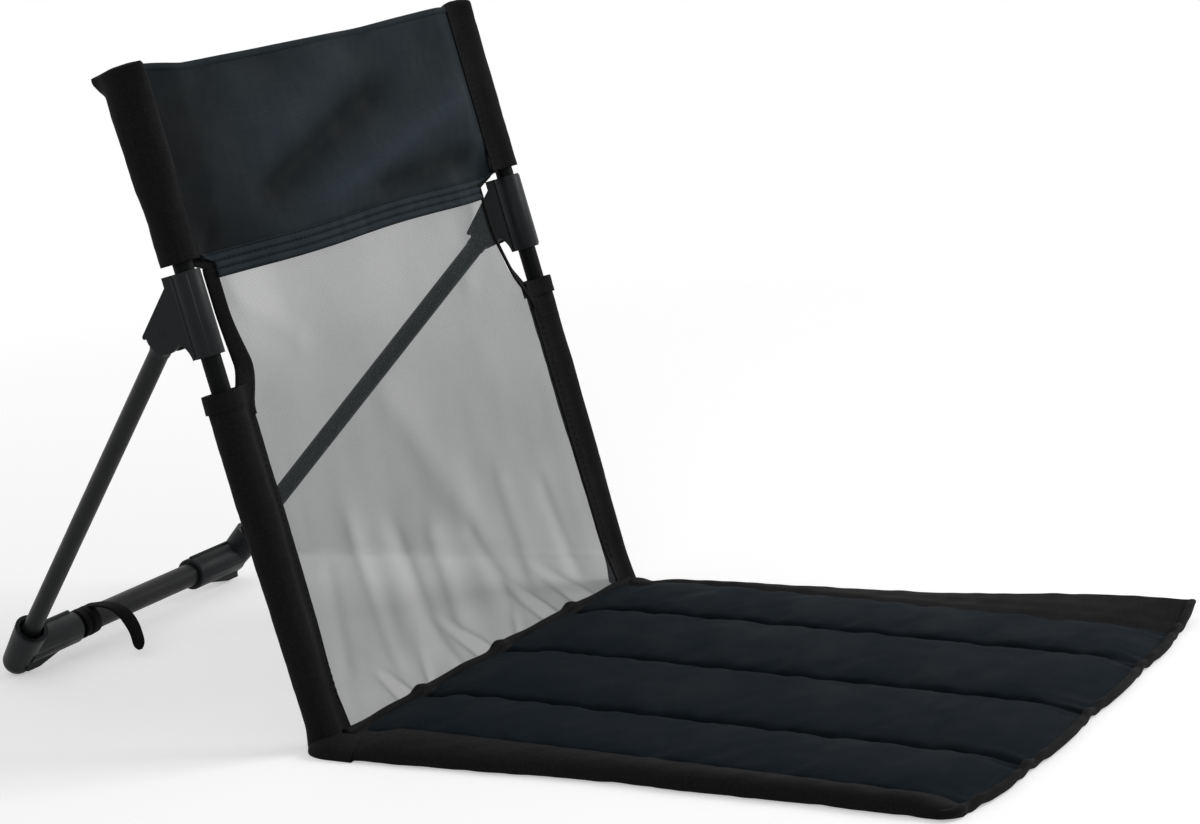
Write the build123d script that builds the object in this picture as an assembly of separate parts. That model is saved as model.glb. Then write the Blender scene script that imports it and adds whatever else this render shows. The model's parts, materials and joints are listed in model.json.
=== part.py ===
"""Folding camping chair without legs: a padded ground mat, a reclined cloth back on two poles,
and a rear support that folds up against the back. Millimetres and degrees, +Z up, facing -Y."""
from build123d import *
import math
import os

# Layout of the whole chair
RECLINE = 14.0
SEAT_DEPTH = 400.0
SEAT_WIDTH = 394.0
POLE_INSET = 12.0
BACK_LENGTH = 415.0
FOOT_SPACING = 236.0
SUPPORT_REACH = 282.0
BAR_HEIGHT = 18.0

# Tubes of the frame
POLE_OD = 12.0
POLE_WALL = 1.0
LEG_OD = 12.0
LEG_WALL = 1.0
BAR_OD = 16.0
BAR_WALL = 1.2
CAP_STEM = 12.0
CAP_HEAD = 3.0
CAP_ROUND = 1.8

# Hub on each pole, with a forked gusset for the leg
HUB_LENGTH = 51.0
HUB_WALL = 3.0
HUB_RIB = 1.2
RIB_ANGLE = 35.0
GUSSET_WIDTH = 14.6
SLOT_WIDTH = 8.6
PIN_SETBACK = 23.7
PIN_DROP = 5.5
PIN_OD = 5.0
EYE_OD = 13.0
CHEEK_OD = 25.0
CHEEK_SWEEP = 48.0
STOP_WALL = 3.0
ARCH_RISE = 1.6
LIP_DEPTH = 3.5
LIP_HEIGHT = 6.0

# Leg end piece that turns in the hub
TONGUE_WIDTH = 8.0
COLLAR_END = 18.0
COLLAR_CHAMFER = 0.4
SPIGOT_LENGTH = 28.0

# Foot elbow: a boot on the leg and a socket for the cross bar
BOOT_TIP_OD = 19.0
BOOT_RIM_OD = 22.0
BOOT_RISE = 22.0
MOUTH_OD = 16.5
MOUTH_DEPTH = 7.0
LEG_STOP = 6.0
SOCKET_LENGTH = 52.0
SOCKET_WALL = 3.0
SOCKET_RIB = 1.5
SOCKET_CHAMFER = 1.0
BAR_STOP = 12.0
WEB_WIDTH = 6.0
WEB_LENGTH = 36.0
WEB_FLAT = 12.0
WEB_CLEAR = 3.0

# Cloth of the back
CLOTH = 1.2
HEAD_CLOTH_HEIGHT = 117.0
BARE_ABOVE_HUB = 6.5
BARE_BELOW_HUB = 22.5
SLEEVE_WIDTH = 21.0
SLEEVE_DEPTH = 18.0
SEAM_FLANGE = 8.0
LOWER_SLEEVE_FOOT = 4.0
CUFF_HEIGHT = 10.0
CUFF_EXTRA = 0.8
HEM_HEIGHT = 14.0
HEM_DROP = 16.0
HEM_THICK = 2.2
HEM_CUT = 16.0
TOP_SAG = 5.0
MESH_FOOT = 14.0
MESH_FOLDS = 6
FLAT_ABOVE_FOLDS = 90.0
FLAT_DEPTH = 0.2
FOLD_DEPTH = 3.0
BINDING_WIDTH = 8.0
BINDING_THICK = 2.0
HUB_CUTOUT = 20.5

# Padded seat
PAD_HEIGHT = 13.5
SEAM_HEIGHT = 8.0
BORDER_HEIGHT = 10.5
EDGE_HEIGHT = 2.6
EDGE_RADIUS = 6.0
CHANNEL_PITCH = 95.0
SIDE_BAND = 29.0
END_ROUND = 22.0
FRONT_LIP = 3.0
COVER = 1.2
SEAT_REAR = 16.0
FOLD_LINE = 10.0
FOLD_HEIGHT = 9.2
FLANGE_THICK = 2.2
FRONT_BINDING = 6.0
COVER_SPLIT = 2.5

# Storage strap on the cross bar
STRAP_WIDTH = 11.0
STRAP_THICK = 1.6
STRAP_TURN = 45.0
STRAP_REACH = 46.0
STRAP_PLACE = 3.0

# Clearances
FIT = 0.1
RUNNING = 0.05
LOOSE = 0.3
LAP = 1.0
OVERSHOOT = 60.0

SIDES = {"left": -1, "right": 1}
LEAN = math.radians(RECLINE)
TILT = Rot(-RECLINE, 0, 0)
POLE_X = SEAT_WIDTH / 2 - POLE_INSET
FOOT_X = FOOT_SPACING / 2
HEAD_FOOT = BACK_LENGTH - HEAD_CLOTH_HEIGHT
HEM_FOOT = HEAD_FOOT - HEM_DROP
HUB_CENTRE = HEAD_FOOT - BARE_ABOVE_HUB - HUB_LENGTH / 2
LOWER_SLEEVE_TOP = HUB_CENTRE - HUB_LENGTH / 2 - BARE_BELOW_HUB
FOLD_START = HEM_FOOT - FLAT_ABOVE_FOLDS
PIN_UP = HUB_CENTRE - PIN_DROP
HUB_OD = POLE_OD + 2 * HUB_WALL
SOCKET_OD = BAR_OD + 2 * SOCKET_WALL
FOLD_Y = -FOLD_LINE
FRONT_Y = -SEAT_DEPTH


def lean_out(back, up):
    """World (y, z) of a point given by its distance behind the poles and its height along them."""
    return (back * math.cos(LEAN) + up * math.sin(LEAN), up * math.cos(LEAN) - back * math.sin(LEAN))


def lean_in(y, z):
    """The reverse of lean_out."""
    return (y * math.cos(LEAN) - z * math.sin(LEAN), y * math.sin(LEAN) + z * math.cos(LEAN))


PIN_Y, PIN_Z = lean_out(PIN_SETBACK, PIN_UP)


def side_slab(edges, width):
    """Solid of an outline in (behind, along) coordinates, centred on a plane across the chair."""
    return extrude(Plane.YZ * make_face(edges), width / 2, both=True)


def rod_x(radius, x0, x1, y, z):
    """Round bar along X between two places."""
    return Pos((x0 + x1) / 2, y, z) * Rot(0, 90, 0) * Cylinder(radius, abs(x1 - x0))


def tube(outer, wall, length):
    """Round tube that stands on the origin."""
    base = (Align.CENTER, Align.CENTER, Align.MIN)
    return Cylinder(outer / 2, length, align=base) - Cylinder(outer / 2 - wall, length, align=base)


def stud(radius, start, end):
    """Solid cylinder on the Z axis between two heights."""
    return Pos(0, 0, (start + end) / 2) * Cylinder(radius, end - start)


# The leg's straight line, from the hub pin to the crossing of leg and bar
def leg_line(side):
    """Pin point, foot point and the length between them."""
    pin = Vector(side * POLE_X, PIN_Y, PIN_Z)
    foot = Vector(side * FOOT_X, SUPPORT_REACH, BAR_HEIGHT)
    return pin, foot, (foot - pin).length


def leg_plane(side):
    """Frame at the hub pin whose Z runs down the leg."""
    pin, foot, _ = leg_line(side)
    return Plane(origin=pin, x_dir=(1, 0, 0), z_dir=foot - pin)


def leg_slope():
    """Unit direction of the leg as seen from the side, in (behind, along) coordinates."""
    back, up = lean_in(SUPPORT_REACH - PIN_Y, BAR_HEIGHT - PIN_Z)
    size = math.hypot(back, up)
    return back / size, up / size


def beside_leg(run, offset):
    """Point seen from the side: a run down the leg from the pin and an offset to its upper side."""
    back, up = leg_slope()
    return (PIN_SETBACK + run * back - offset * up, -PIN_DROP + run * up + offset * back)


def about_pin(radius, angle):
    """Point seen from the side, about the pin, by an angle turned rearward from straight down the pole."""
    turn = math.radians(angle)
    return (PIN_SETBACK + radius * math.sin(turn), -PIN_DROP - radius * math.cos(turn))


# Poles, caps and hubs
POLE_FOOT = LOWER_SLEEVE_FOOT + COVER + LOOSE + CAP_HEAD
POLE_TOP = BACK_LENGTH - COVER - LOOSE - CAP_HEAD


def pole(side):
    """Back pole, which the hub is pressed on."""
    return TILT * Pos(side * POLE_X, 0, POLE_FOOT) * tube(POLE_OD, POLE_WALL, POLE_TOP - POLE_FOOT)


def cap(side, seat, up):
    """Plug for a pole's end, with a thin round head. The seat is the pole's end, up is +1 or -1."""
    stem = stud(POLE_OD / 2 - POLE_WALL - FIT, -CAP_STEM, 0)
    head = stud(POLE_OD / 2, 0, CAP_HEAD)
    head = fillet(head.edges().group_by(Axis.Z)[-1], CAP_ROUND)
    whole = stem + head
    if up < 0:
        whole = Rot(180, 0, 0) * whole
    return TILT * Pos(side * POLE_X, 0, seat) * whole


def hub_outline():
    """Side outline of the gusset, about the hub's centre."""
    wall = HUB_OD / 2
    half = HUB_LENGTH / 2
    bore = POLE_OD / 2 + FIT
    eye = EYE_OD / 2 + LOOSE
    cheek = CHEEK_OD / 2
    back, up = leg_slope()
    root_angle = math.degrees(math.atan2(back, -up) + math.asin(eye / cheek))
    root = about_pin(cheek, root_angle)
    lowest = about_pin(cheek, (root_angle - CHEEK_SWEEP) / 2)
    front = about_pin(cheek, -CHEEK_SWEEP)
    foot = (bore + HUB_WALL / 2, -half)
    chord = Vector(*front) - Vector(*foot)
    rise = Vector(-chord.Y, chord.X) * (ARCH_RISE / chord.length)
    arch = (Vector(*front) + Vector(*foot)) / 2 + rise
    lip = wall + LIP_DEPTH
    reach = math.sqrt(cheek ** 2 - eye ** 2)
    high = beside_leg(reach, eye + STOP_WALL)
    top = Polyline((bore, -half), (bore, half), (lip, half), (lip, half - LIP_HEIGHT), high)
    nose = ThreePointArc(high, beside_leg(reach + STOP_WALL / 2, eye + STOP_WALL / 2), root)
    swing = ThreePointArc(root, lowest, front)
    arched = ThreePointArc(front, arch, foot)
    return top + nose + swing + arched + Line(foot, (bore, -half))


def slot_outline():
    """Side outline of the fork's slot: open below, closed by the stop wall above."""
    eye = EYE_OD / 2 + LOOSE
    far = beside_leg(OVERSHOOT, eye)
    front = PIN_SETBACK - EYE_OD / 2 - 2 * LOOSE
    back, up = leg_slope()
    start_back, start_up = beside_leg(0, eye)
    rise = start_up + (front - start_back) / back * up
    return Polyline((front, rise), far, (far[0], -OVERSHOOT), (front, -OVERSHOOT), close=True)


def hub(side):
    """Moulded connector: a ribbed sleeve on the pole and a fork that carries the leg."""
    bore = stud(POLE_OD / 2 + FIT, -OVERSHOOT, OVERSHOOT)
    body = Cylinder(HUB_OD / 2, HUB_LENGTH) + side_slab(hub_outline(), GUSSET_WIDTH)
    for angle in (-RIB_ANGLE, RIB_ANGLE):
        spot = math.radians(angle)
        x = side * HUB_OD / 2 * math.cos(spot)
        body += Pos(x, HUB_OD / 2 * math.sin(spot), 0) * Cylinder(HUB_RIB, HUB_LENGTH - 2 * HUB_RIB)
    body -= side_slab(slot_outline(), SLOT_WIDTH)
    body -= bore
    body -= rod_x(PIN_OD / 2 + RUNNING, -GUSSET_WIDTH, GUSSET_WIDTH, PIN_SETBACK, -PIN_DROP)
    return TILT * Pos(side * POLE_X, 0, HUB_CENTRE) * body


def at_pin(side):
    """Place of a hub's hinge pin."""
    return TILT * Pos(side * POLE_X, PIN_SETBACK, PIN_UP)


def hub_pin(side):
    """Hinge pin of the leg, flush with both cheeks."""
    cheek = GUSSET_WIDTH / 2
    return at_pin(side) * rod_x(PIN_OD / 2, -cheek, cheek, 0, 0)


# Rear support
def leg_knuckle(side):
    """Leg end: an eye on the hub pin, a tongue, a collar that closes round the cheeks and a spigot."""
    back, up = leg_slope()
    turn = math.degrees(math.atan2(up, back))
    length = CHEEK_OD / 2 + LOOSE + LAP
    tongue = Pos(0, length / 2, 0) * Box(TONGUE_WIDTH, length, EYE_OD)
    eye = rod_x(EYE_OD / 2, -TONGUE_WIDTH / 2, TONGUE_WIDTH / 2, 0, 0)
    collar = stud(EYE_OD / 2, 0, COLLAR_END)
    collar = chamfer(collar.edges().group_by(Axis.Z)[-1], COLLAR_CHAMFER)
    collar = leg_plane(side).location * collar
    collar -= at_pin(side) * rod_x(CHEEK_OD / 2 + LOOSE, -EYE_OD, EYE_OD, 0, 0)
    spigot = leg_plane(side).location * stud(LEG_OD / 2 - LEG_WALL - FIT, length, COLLAR_END + SPIGOT_LENGTH)
    hole = at_pin(side) * rod_x(PIN_OD / 2 + RUNNING, -POLE_OD, POLE_OD, 0, 0)
    return at_pin(side) * (Rot(turn, 0, 0) * tongue + eye) + collar + spigot - hole


def rear_leg(side):
    """Straight tube from the collar to the stop in the boot."""
    _, _, length = leg_line(side)
    body = Pos(0, 0, COLLAR_END) * tube(LEG_OD, LEG_WALL, length - LEG_STOP - COLLAR_END)
    return leg_plane(side).location * body


def foot_elbow(side):
    """Moulded foot: a boot with a round tip, a ribbed socket for the bar and a web between them."""
    pin, foot, length = leg_line(side)
    fall = (pin.Z - foot.Z) / length
    drop = (BAR_HEIGHT - BOOT_TIP_OD / 2) / fall
    place = leg_plane(side).location
    rise = length - BOOT_RISE
    tip = length + drop
    boot = Pos(0, 0, (rise + tip) / 2) * Cone(BOOT_RIM_OD / 2, BOOT_TIP_OD / 2, tip - rise)
    boot += Pos(0, 0, tip) * Sphere(BOOT_TIP_OD / 2)
    inner = side * (FOOT_X - SOCKET_LENGTH)
    socket = rod_x(SOCKET_OD / 2, side * FOOT_X, inner, SUPPORT_REACH, BAR_HEIGHT)
    socket = chamfer(socket.edges().sort_by(Axis.X)[0 if side > 0 else -1], SOCKET_CHAMFER)
    rib = rod_x(SOCKET_RIB, side * FOOT_X, inner + side * 2 * SOCKET_RIB, SUPPORT_REACH,
                BAR_HEIGHT + SOCKET_OD / 2)
    web_end = side * (FOOT_X - WEB_LENGTH)
    under = Polyline((side * FOOT_X, BAR_HEIGHT), (side * FOOT_X, WEB_CLEAR),
                     (side * (FOOT_X - WEB_FLAT), WEB_CLEAR),
                     (web_end, BAR_HEIGHT - SOCKET_OD / 2 + LAP), (web_end, BAR_HEIGHT), close=True)
    web = Pos(0, SUPPORT_REACH, 0) * extrude(Plane.XZ * make_face(under), WEB_WIDTH / 2, both=True)
    body = place * boot + socket + rib + web
    bores = stud(LEG_OD / 2 + FIT, rise - LAP, length - LEG_STOP)
    bores += stud(MOUTH_OD / 2, rise - LAP, rise + MOUTH_DEPTH)
    bar = rod_x(BAR_OD / 2 + FIT, side * (FOOT_X - BAR_STOP), inner - side * LAP, SUPPORT_REACH, BAR_HEIGHT)
    return body - place * bores - bar


def cross_bar():
    """Tube between the two feet."""
    half = FOOT_X - BAR_STOP
    body = rod_x(BAR_OD / 2, -half, half, SUPPORT_REACH, BAR_HEIGHT)
    return body - rod_x(BAR_OD / 2 - BAR_WALL, -half, half, SUPPORT_REACH, BAR_HEIGHT)


def storage_strap():
    """Flat strap: a ring round the bar beside the left socket and a tail that bends to the ground."""
    inner = BAR_OD / 2 + FIT
    middle = -FOOT_X + SOCKET_LENGTH + STRAP_PLACE + STRAP_WIDTH / 2
    edges = (middle - STRAP_WIDTH / 2, middle + STRAP_WIDTH / 2)
    ring = rod_x(inner + STRAP_THICK, *edges, SUPPORT_REACH, BAR_HEIGHT)
    ring -= rod_x(inner, *edges, SUPPORT_REACH, BAR_HEIGHT)
    top = inner + STRAP_THICK
    low = STRAP_THICK / 2 + LOOSE - BAR_HEIGHT
    path = Plane.YZ * TangentArc((0, top), (-STRAP_REACH, low), tangent=(-1, 0))
    start = Plane(origin=path @ 0, x_dir=(1, 0, 0), z_dir=path % 0)
    tail = sweep(start * Rectangle(STRAP_WIDTH, STRAP_THICK), path=path)
    return ring + Pos(middle, SUPPORT_REACH, BAR_HEIGHT) * Rot(0, 0, STRAP_TURN) * tail


# Cloth of the back, drawn upright and leaned out at the end
PANEL_X = POLE_X - SLEEVE_WIDTH / 2 - SEAM_FLANGE


def sleeve_tube(foot, top, extra=0.0):
    """Oval cloth tube about a pole, open at both ends."""
    outer = Ellipse(SLEEVE_WIDTH / 2 + extra, SLEEVE_DEPTH / 2 + extra)
    inner = Ellipse(SLEEVE_WIDTH / 2 - CLOTH, SLEEVE_DEPTH / 2 - CLOTH)
    return Pos(0, 0, foot) * extrude(outer - inner, top - foot)


def sleeve_end(foot):
    """Closed end of a sleeve."""
    return Pos(0, 0, foot) * extrude(Ellipse(SLEEVE_WIDTH / 2, SLEEVE_DEPTH / 2), COVER)


def seam_flange(side, foot, top):
    """Flat seam along a sleeve's inner side, where the panel is sewn on."""
    root = SLEEVE_WIDTH / 2 - CLOTH / 2
    tip = SLEEVE_WIDTH / 2 + SEAM_FLANGE
    return Pos(-side * (root + tip) / 2, 0, (foot + top) / 2) * Box(tip - root, CLOTH, top - foot)


def head_sleeve(side):
    """Pocket over the upper end of a pole."""
    body = sleeve_tube(HEAD_FOOT, BACK_LENGTH) + sleeve_end(BACK_LENGTH - COVER)
    body += seam_flange(side, HEAD_FOOT, BACK_LENGTH)
    return TILT * Pos(side * POLE_X, 0, 0) * body


def back_sleeve(side):
    """Long sleeve over the lower pole, with a cuff at its top and a closed foot."""
    body = sleeve_tube(LOWER_SLEEVE_FOOT, LOWER_SLEEVE_TOP) + sleeve_end(LOWER_SLEEVE_FOOT)
    body += sleeve_tube(LOWER_SLEEVE_TOP - CUFF_HEIGHT, LOWER_SLEEVE_TOP, CUFF_EXTRA)
    body += seam_flange(side, MESH_FOOT, LOWER_SLEEVE_TOP)
    return TILT * Pos(side * POLE_X, 0, 0) * body


def panel(outline, thick):
    """Flat cloth panel from an outline in (across, along) coordinates, in the plane of the poles."""
    return TILT * extrude(Plane.XZ * make_face(outline), thick / 2, both=True)


def head_band():
    """Cloth across the top of the back, its top edge sagging between the poles."""
    foot = HEM_FOOT + HEM_HEIGHT
    sides = Polyline((PANEL_X, BACK_LENGTH), (PANEL_X, foot), (-PANEL_X, foot), (-PANEL_X, BACK_LENGTH))
    sag = ThreePointArc((-PANEL_X, BACK_LENGTH), (0, BACK_LENGTH - TOP_SAG), (PANEL_X, BACK_LENGTH))
    return panel(sides + sag, CLOTH)


def head_hem():
    """Stitched hem along the foot of the head band, cut back at its ends beside the hubs."""
    top = HEM_FOOT + HEM_HEIGHT
    short = PANEL_X - HEM_CUT
    return panel(Polyline((-short, HEM_FOOT), (short, HEM_FOOT), (PANEL_X, top), (-PANEL_X, top), close=True),
                 HEM_THICK)


def cutout_arc(shift):
    """Curved edge of the back cloth beside the hub, on the right-hand side."""
    edge = PANEL_X + shift
    middle = (HEM_FOOT + LOWER_SLEEVE_TOP) / 2
    return ThreePointArc((edge, LOWER_SLEEVE_TOP), (edge - HUB_CUTOUT, middle), (edge - HEM_CUT, HEM_FOOT))


def mesh_section(up, depth):
    """Closed section of the mesh across the chair, waved by its folds."""
    step = 2 * PANEL_X / MESH_FOLDS
    wire = []
    for face in (-1, 1):
        for fold in range(MESH_FOLDS):
            start = -PANEL_X + fold * step
            crest = depth * (1 if fold % 2 else -1)
            base = face * CLOTH / 2
            wire.append(ThreePointArc((start, base, up), (start + step / 2, base + crest, up),
                                      (start + step, base, up)))
    for end in (-1, 1):
        wire.append(Line((end * PANEL_X, -CLOTH / 2, up), (end * PANEL_X, CLOTH / 2, up)))
    return make_face(wire)


def back_mesh():
    """Open mesh of the back: flat at the top, hanging in soft folds towards the seat."""
    upper = mesh_section(FOLD_START, FLAT_DEPTH)
    body = loft([mesh_section(HEM_FOOT, FLAT_DEPTH), upper], ruled=True)
    body += loft([upper, mesh_section(MESH_FOOT, FOLD_DEPTH)], ruled=True)
    edge = cutout_arc(0)
    beyond = POLE_X
    around = Polyline(edge @ 1, (beyond, HEM_FOOT), (beyond, LOWER_SLEEVE_TOP), edge @ 0)
    bite = extrude(Plane.XZ * make_face(edge + around), SLEEVE_DEPTH, both=True)
    return TILT * (body - bite - mirror(bite, about=Plane.YZ))


def mesh_binding(side):
    """Tape round the mesh where it is cut away beside the hub."""
    inner = cutout_arc(0)
    outer = cutout_arc(BINDING_WIDTH)
    outline = inner + Line(inner @ 1, outer @ 1) + outer + Line(outer @ 0, inner @ 0)
    body = panel(outline, BINDING_THICK)
    return body if side > 0 else mirror(body, about=Plane.YZ)


def fold_tape():
    """Tape from the foot of the mesh to the fold line, which the seat folds about."""
    front = lean_out(-FOLD_DEPTH - CLOTH, MESH_FOOT)
    rear = lean_out(FOLD_DEPTH + CLOTH, MESH_FOOT)
    end = FOLD_Y + LOOSE / 2
    under = (front[0], front[1] - 2 * FLANGE_THICK)
    outline = Polyline((end, FOLD_HEIGHT), front, rear, (rear[0], rear[1] - FLANGE_THICK), under,
                       (end, FOLD_HEIGHT - FLANGE_THICK), close=True)
    return side_slab(outline, 2 * (PANEL_X - LOOSE))


# Padded seat: one quilted form, cut along its seams into the sewn pieces
HALF_SEAT = SEAT_WIDTH / 2
BORDER_X = HALF_SEAT - SIDE_BAND


def quilt_across():
    """Section across the seat: four crowned channels between drawn-in side bands."""
    seams = [(-BORDER_X, BORDER_HEIGHT), (-CHANNEL_PITCH, SEAM_HEIGHT), (0, SEAM_HEIGHT),
             (CHANNEL_PITCH, SEAM_HEIGHT), (BORDER_X, BORDER_HEIGHT)]
    wire = Polyline(seams[-1], (HALF_SEAT, EDGE_HEIGHT), (HALF_SEAT - EDGE_RADIUS, 0),
                    (EDGE_RADIUS - HALF_SEAT, 0), (-HALF_SEAT, EDGE_HEIGHT), seams[0])
    for start, end in zip(seams, seams[1:]):
        wire += ThreePointArc(start, ((start[0] + end[0]) / 2, PAD_HEIGHT), end)
    return make_face(wire)


def quilt_along():
    """Section along the seat, drawn in at the front and rear ends."""
    rear = -SEAT_REAR
    flat = Polyline((FRONT_Y + END_ROUND, PAD_HEIGHT), (rear - END_ROUND, PAD_HEIGHT))
    back = TangentArc((rear - END_ROUND, PAD_HEIGHT), (rear, FOLD_HEIGHT), tangent=(1, 0))
    base = Polyline((rear, FOLD_HEIGHT), (rear, 0), (FRONT_Y + FRONT_LIP, 0), (FRONT_Y, FRONT_LIP))
    nose = TangentArc((FRONT_Y + END_ROUND, PAD_HEIGHT), (FRONT_Y, FRONT_LIP), tangent=(-1, 0))
    return make_face(flat + back + base + nose)


def quilt():
    """The seat's whole outer form."""
    long = extrude(Plane.XZ * quilt_across(), 2 * SEAT_DEPTH, both=True)
    return long & extrude(Plane.YZ * quilt_along(), SEAT_WIDTH, both=True)


def foam_strip(number, gap):
    """Foam of one channel, inside the cover by a gap on every side."""
    edges = (-BORDER_X, -CHANNEL_PITCH, 0, CHANNEL_PITCH, BORDER_X)
    left = edges[number] + gap
    right = edges[number + 1] - gap
    shoulder = SEAM_HEIGHT - 2 * gap
    roof = ThreePointArc((left, shoulder), ((left + right) / 2, PAD_HEIGHT - gap), (right, shoulder))
    walls = Polyline((right, shoulder), (right, gap), (left, gap), (left, shoulder))
    rear = -SEAT_REAR - END_ROUND / 2
    front = FRONT_Y + END_ROUND / 2
    length = rear - front - 2 * gap
    section = Plane.XZ * make_face(roof + walls)
    strip = Pos(0, (rear + front) / 2, 0) * extrude(section, length / 2, both=True)
    nose = Pos(0, gap, -gap) * extrude(Plane.YZ * quilt_along(), SEAT_WIDTH, both=True)
    tail = Pos(0, -gap, -gap) * extrude(Plane.YZ * quilt_along(), SEAT_WIDTH, both=True)
    return strip & nose & tail


def seat_pieces():
    """Cover panels, side bands and front binding of the seat, by name."""
    skin = quilt()
    for number in range(4):
        skin -= foam_strip(number, COVER)
    bind_y = FRONT_Y + FRONT_BINDING
    tall = 2 * PAD_HEIGHT
    wide = 2 * SEAT_WIDTH
    long = 2 * SEAT_DEPTH
    front_part = Pos(0, bind_y - long / 2, 0) * Box(wide, long, tall)
    main = skin - front_part
    pieces = {"seat_front_binding": skin & front_part}
    middle = Box(2 * BORDER_X, wide + long, tall)
    below = Pos(0, 0, COVER_SPLIT - tall / 2) * Box(wide, wide + long, tall)
    pieces["seat_base_cover"] = main & middle & below
    pieces["seat_top_cover"] = (main & middle) - below
    for name, side in SIDES.items():
        outside = Pos(side * (BORDER_X + wide / 2), 0, 0) * Box(wide, wide + long, tall)
        pieces[name + "_seat_band"] = main & outside
    return pieces


def seat_rear_binding():
    """Sewn flange behind the seat, which ends at the fold line."""
    rear = FOLD_Y - LOOSE / 2
    front = -SEAT_REAR
    middle = Pos(0, (rear + front) / 2, FOLD_HEIGHT - FLANGE_THICK / 2)
    return middle * Box(2 * (PANEL_X - LOOSE), rear - front, FLANGE_THICK)


# All nodes, then the shift that puts the origin under the middle of the chair
def build():
    """Every node of the chair by name."""
    nodes = {"rear_cross_bar": cross_bar(), "storage_strap": storage_strap()}
    for name, side in SIDES.items():
        nodes[name + "_pole"] = pole(side)
        nodes[name + "_hub"] = hub(side)
        nodes[name + "_leg_knuckle"] = leg_knuckle(side)
        nodes[name + "_rear_leg"] = rear_leg(side)
        nodes[name + "_foot_elbow"] = foot_elbow(side)
        nodes[name + "_head_sleeve"] = head_sleeve(side)
        nodes[name + "_back_sleeve"] = back_sleeve(side)
        nodes[name + "_mesh_binding"] = mesh_binding(side)
    both = SIDES.values()
    nodes["hub_pins"] = Compound(children=[hub_pin(side) for side in both])
    nodes["pole_top_caps"] = Compound(children=[cap(side, POLE_TOP, 1) for side in both])
    nodes["pole_foot_caps"] = Compound(children=[cap(side, POLE_FOOT, -1) for side in both])
    nodes["head_band"] = head_band()
    nodes["head_hem"] = head_hem()
    nodes["back_mesh"] = back_mesh()
    nodes["fold_tape"] = fold_tape()
    nodes["seat_rear_binding"] = seat_rear_binding()
    nodes.update(seat_pieces())
    for number in range(4):
        nodes["seat_foam_" + str(number + 1)] = foam_strip(number, COVER + LOOSE / 2)
    return nodes


nodes = build()
REAR_Y = max(node.bounding_box().max.Y for node in nodes.values())
SHIFT = -(REAR_Y + FRONT_Y) / 2
print("shift", round(SHIFT, 3), "pin", round(PIN_Y + SHIFT, 3), round(PIN_Z, 3),
      "fold", round(FOLD_Y + SHIFT, 3), FOLD_HEIGHT)
os.makedirs("parts", exist_ok=True)
for name, node in nodes.items():
    export_step(Pos(0, SHIFT, 0) * node, "parts/" + name + ".step")
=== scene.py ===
import json
import math

import bpy
import numpy as np
from mathutils import Matrix, Vector


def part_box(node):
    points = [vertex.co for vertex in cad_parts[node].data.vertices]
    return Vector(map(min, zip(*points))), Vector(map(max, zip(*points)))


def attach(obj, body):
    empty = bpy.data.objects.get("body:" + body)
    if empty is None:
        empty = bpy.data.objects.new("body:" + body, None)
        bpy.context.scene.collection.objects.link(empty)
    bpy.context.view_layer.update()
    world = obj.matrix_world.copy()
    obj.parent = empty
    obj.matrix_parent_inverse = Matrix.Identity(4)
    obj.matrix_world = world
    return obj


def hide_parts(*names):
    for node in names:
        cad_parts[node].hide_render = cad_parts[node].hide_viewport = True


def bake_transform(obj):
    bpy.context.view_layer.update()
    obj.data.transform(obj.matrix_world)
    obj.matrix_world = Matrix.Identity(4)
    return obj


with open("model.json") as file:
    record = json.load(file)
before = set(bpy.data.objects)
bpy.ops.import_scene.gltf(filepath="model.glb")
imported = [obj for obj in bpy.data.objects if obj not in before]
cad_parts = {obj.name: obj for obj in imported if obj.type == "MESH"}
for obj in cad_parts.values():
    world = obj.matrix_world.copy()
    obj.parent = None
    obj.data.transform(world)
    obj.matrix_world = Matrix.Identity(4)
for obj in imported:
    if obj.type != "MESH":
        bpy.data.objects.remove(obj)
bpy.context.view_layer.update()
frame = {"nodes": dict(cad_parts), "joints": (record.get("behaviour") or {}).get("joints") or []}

bl_info = {
    "name": "Folding ground chair",
    "version": (1, 0, 0),
    "blender": (4, 5, 0),
    "location": "View3D > Sidebar > Ground chair",
    "description": "Dresses the folding ground chair's frame with cloth, net, padding and finishes",
    "category": "Object",
}

NODES = frame["nodes"]
SIDES = {"left": -1, "right": 1}
FOLD = Vector(next(j["pos_m"] for j in frame["joints"] if j["name"] == "seat_fold"))

# The back's own coordinates: across, behind the poles, and up along them
RECLINE = math.radians(14)
POLE_ROOT_Y = 0.050613
POLE_X = 0.185
POLE_TOP = 0.415
PANEL_X = 0.173
PANEL_RIGHT = 0.1675
NET_X = 0.166
FOOT_TAPER = 0.0034
CUT_X = 0.1535
CUT_FOOT = 0.202
CUT_TOP = 0.2985
HEM_FOOT = 0.282
HEM_TOP = 0.296
SLEEVE_FOOT = 0.297
CUFF_TOP = 0.218
CAP_START = 0.4128
CAP_RISE = 0.0021
NET_FOOT = 0.0028

# Rows of stitches on the hem, as columns of its grid of points
HEM_ROWS = (0.9, 9.4, 18.7, 27.0)

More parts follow.
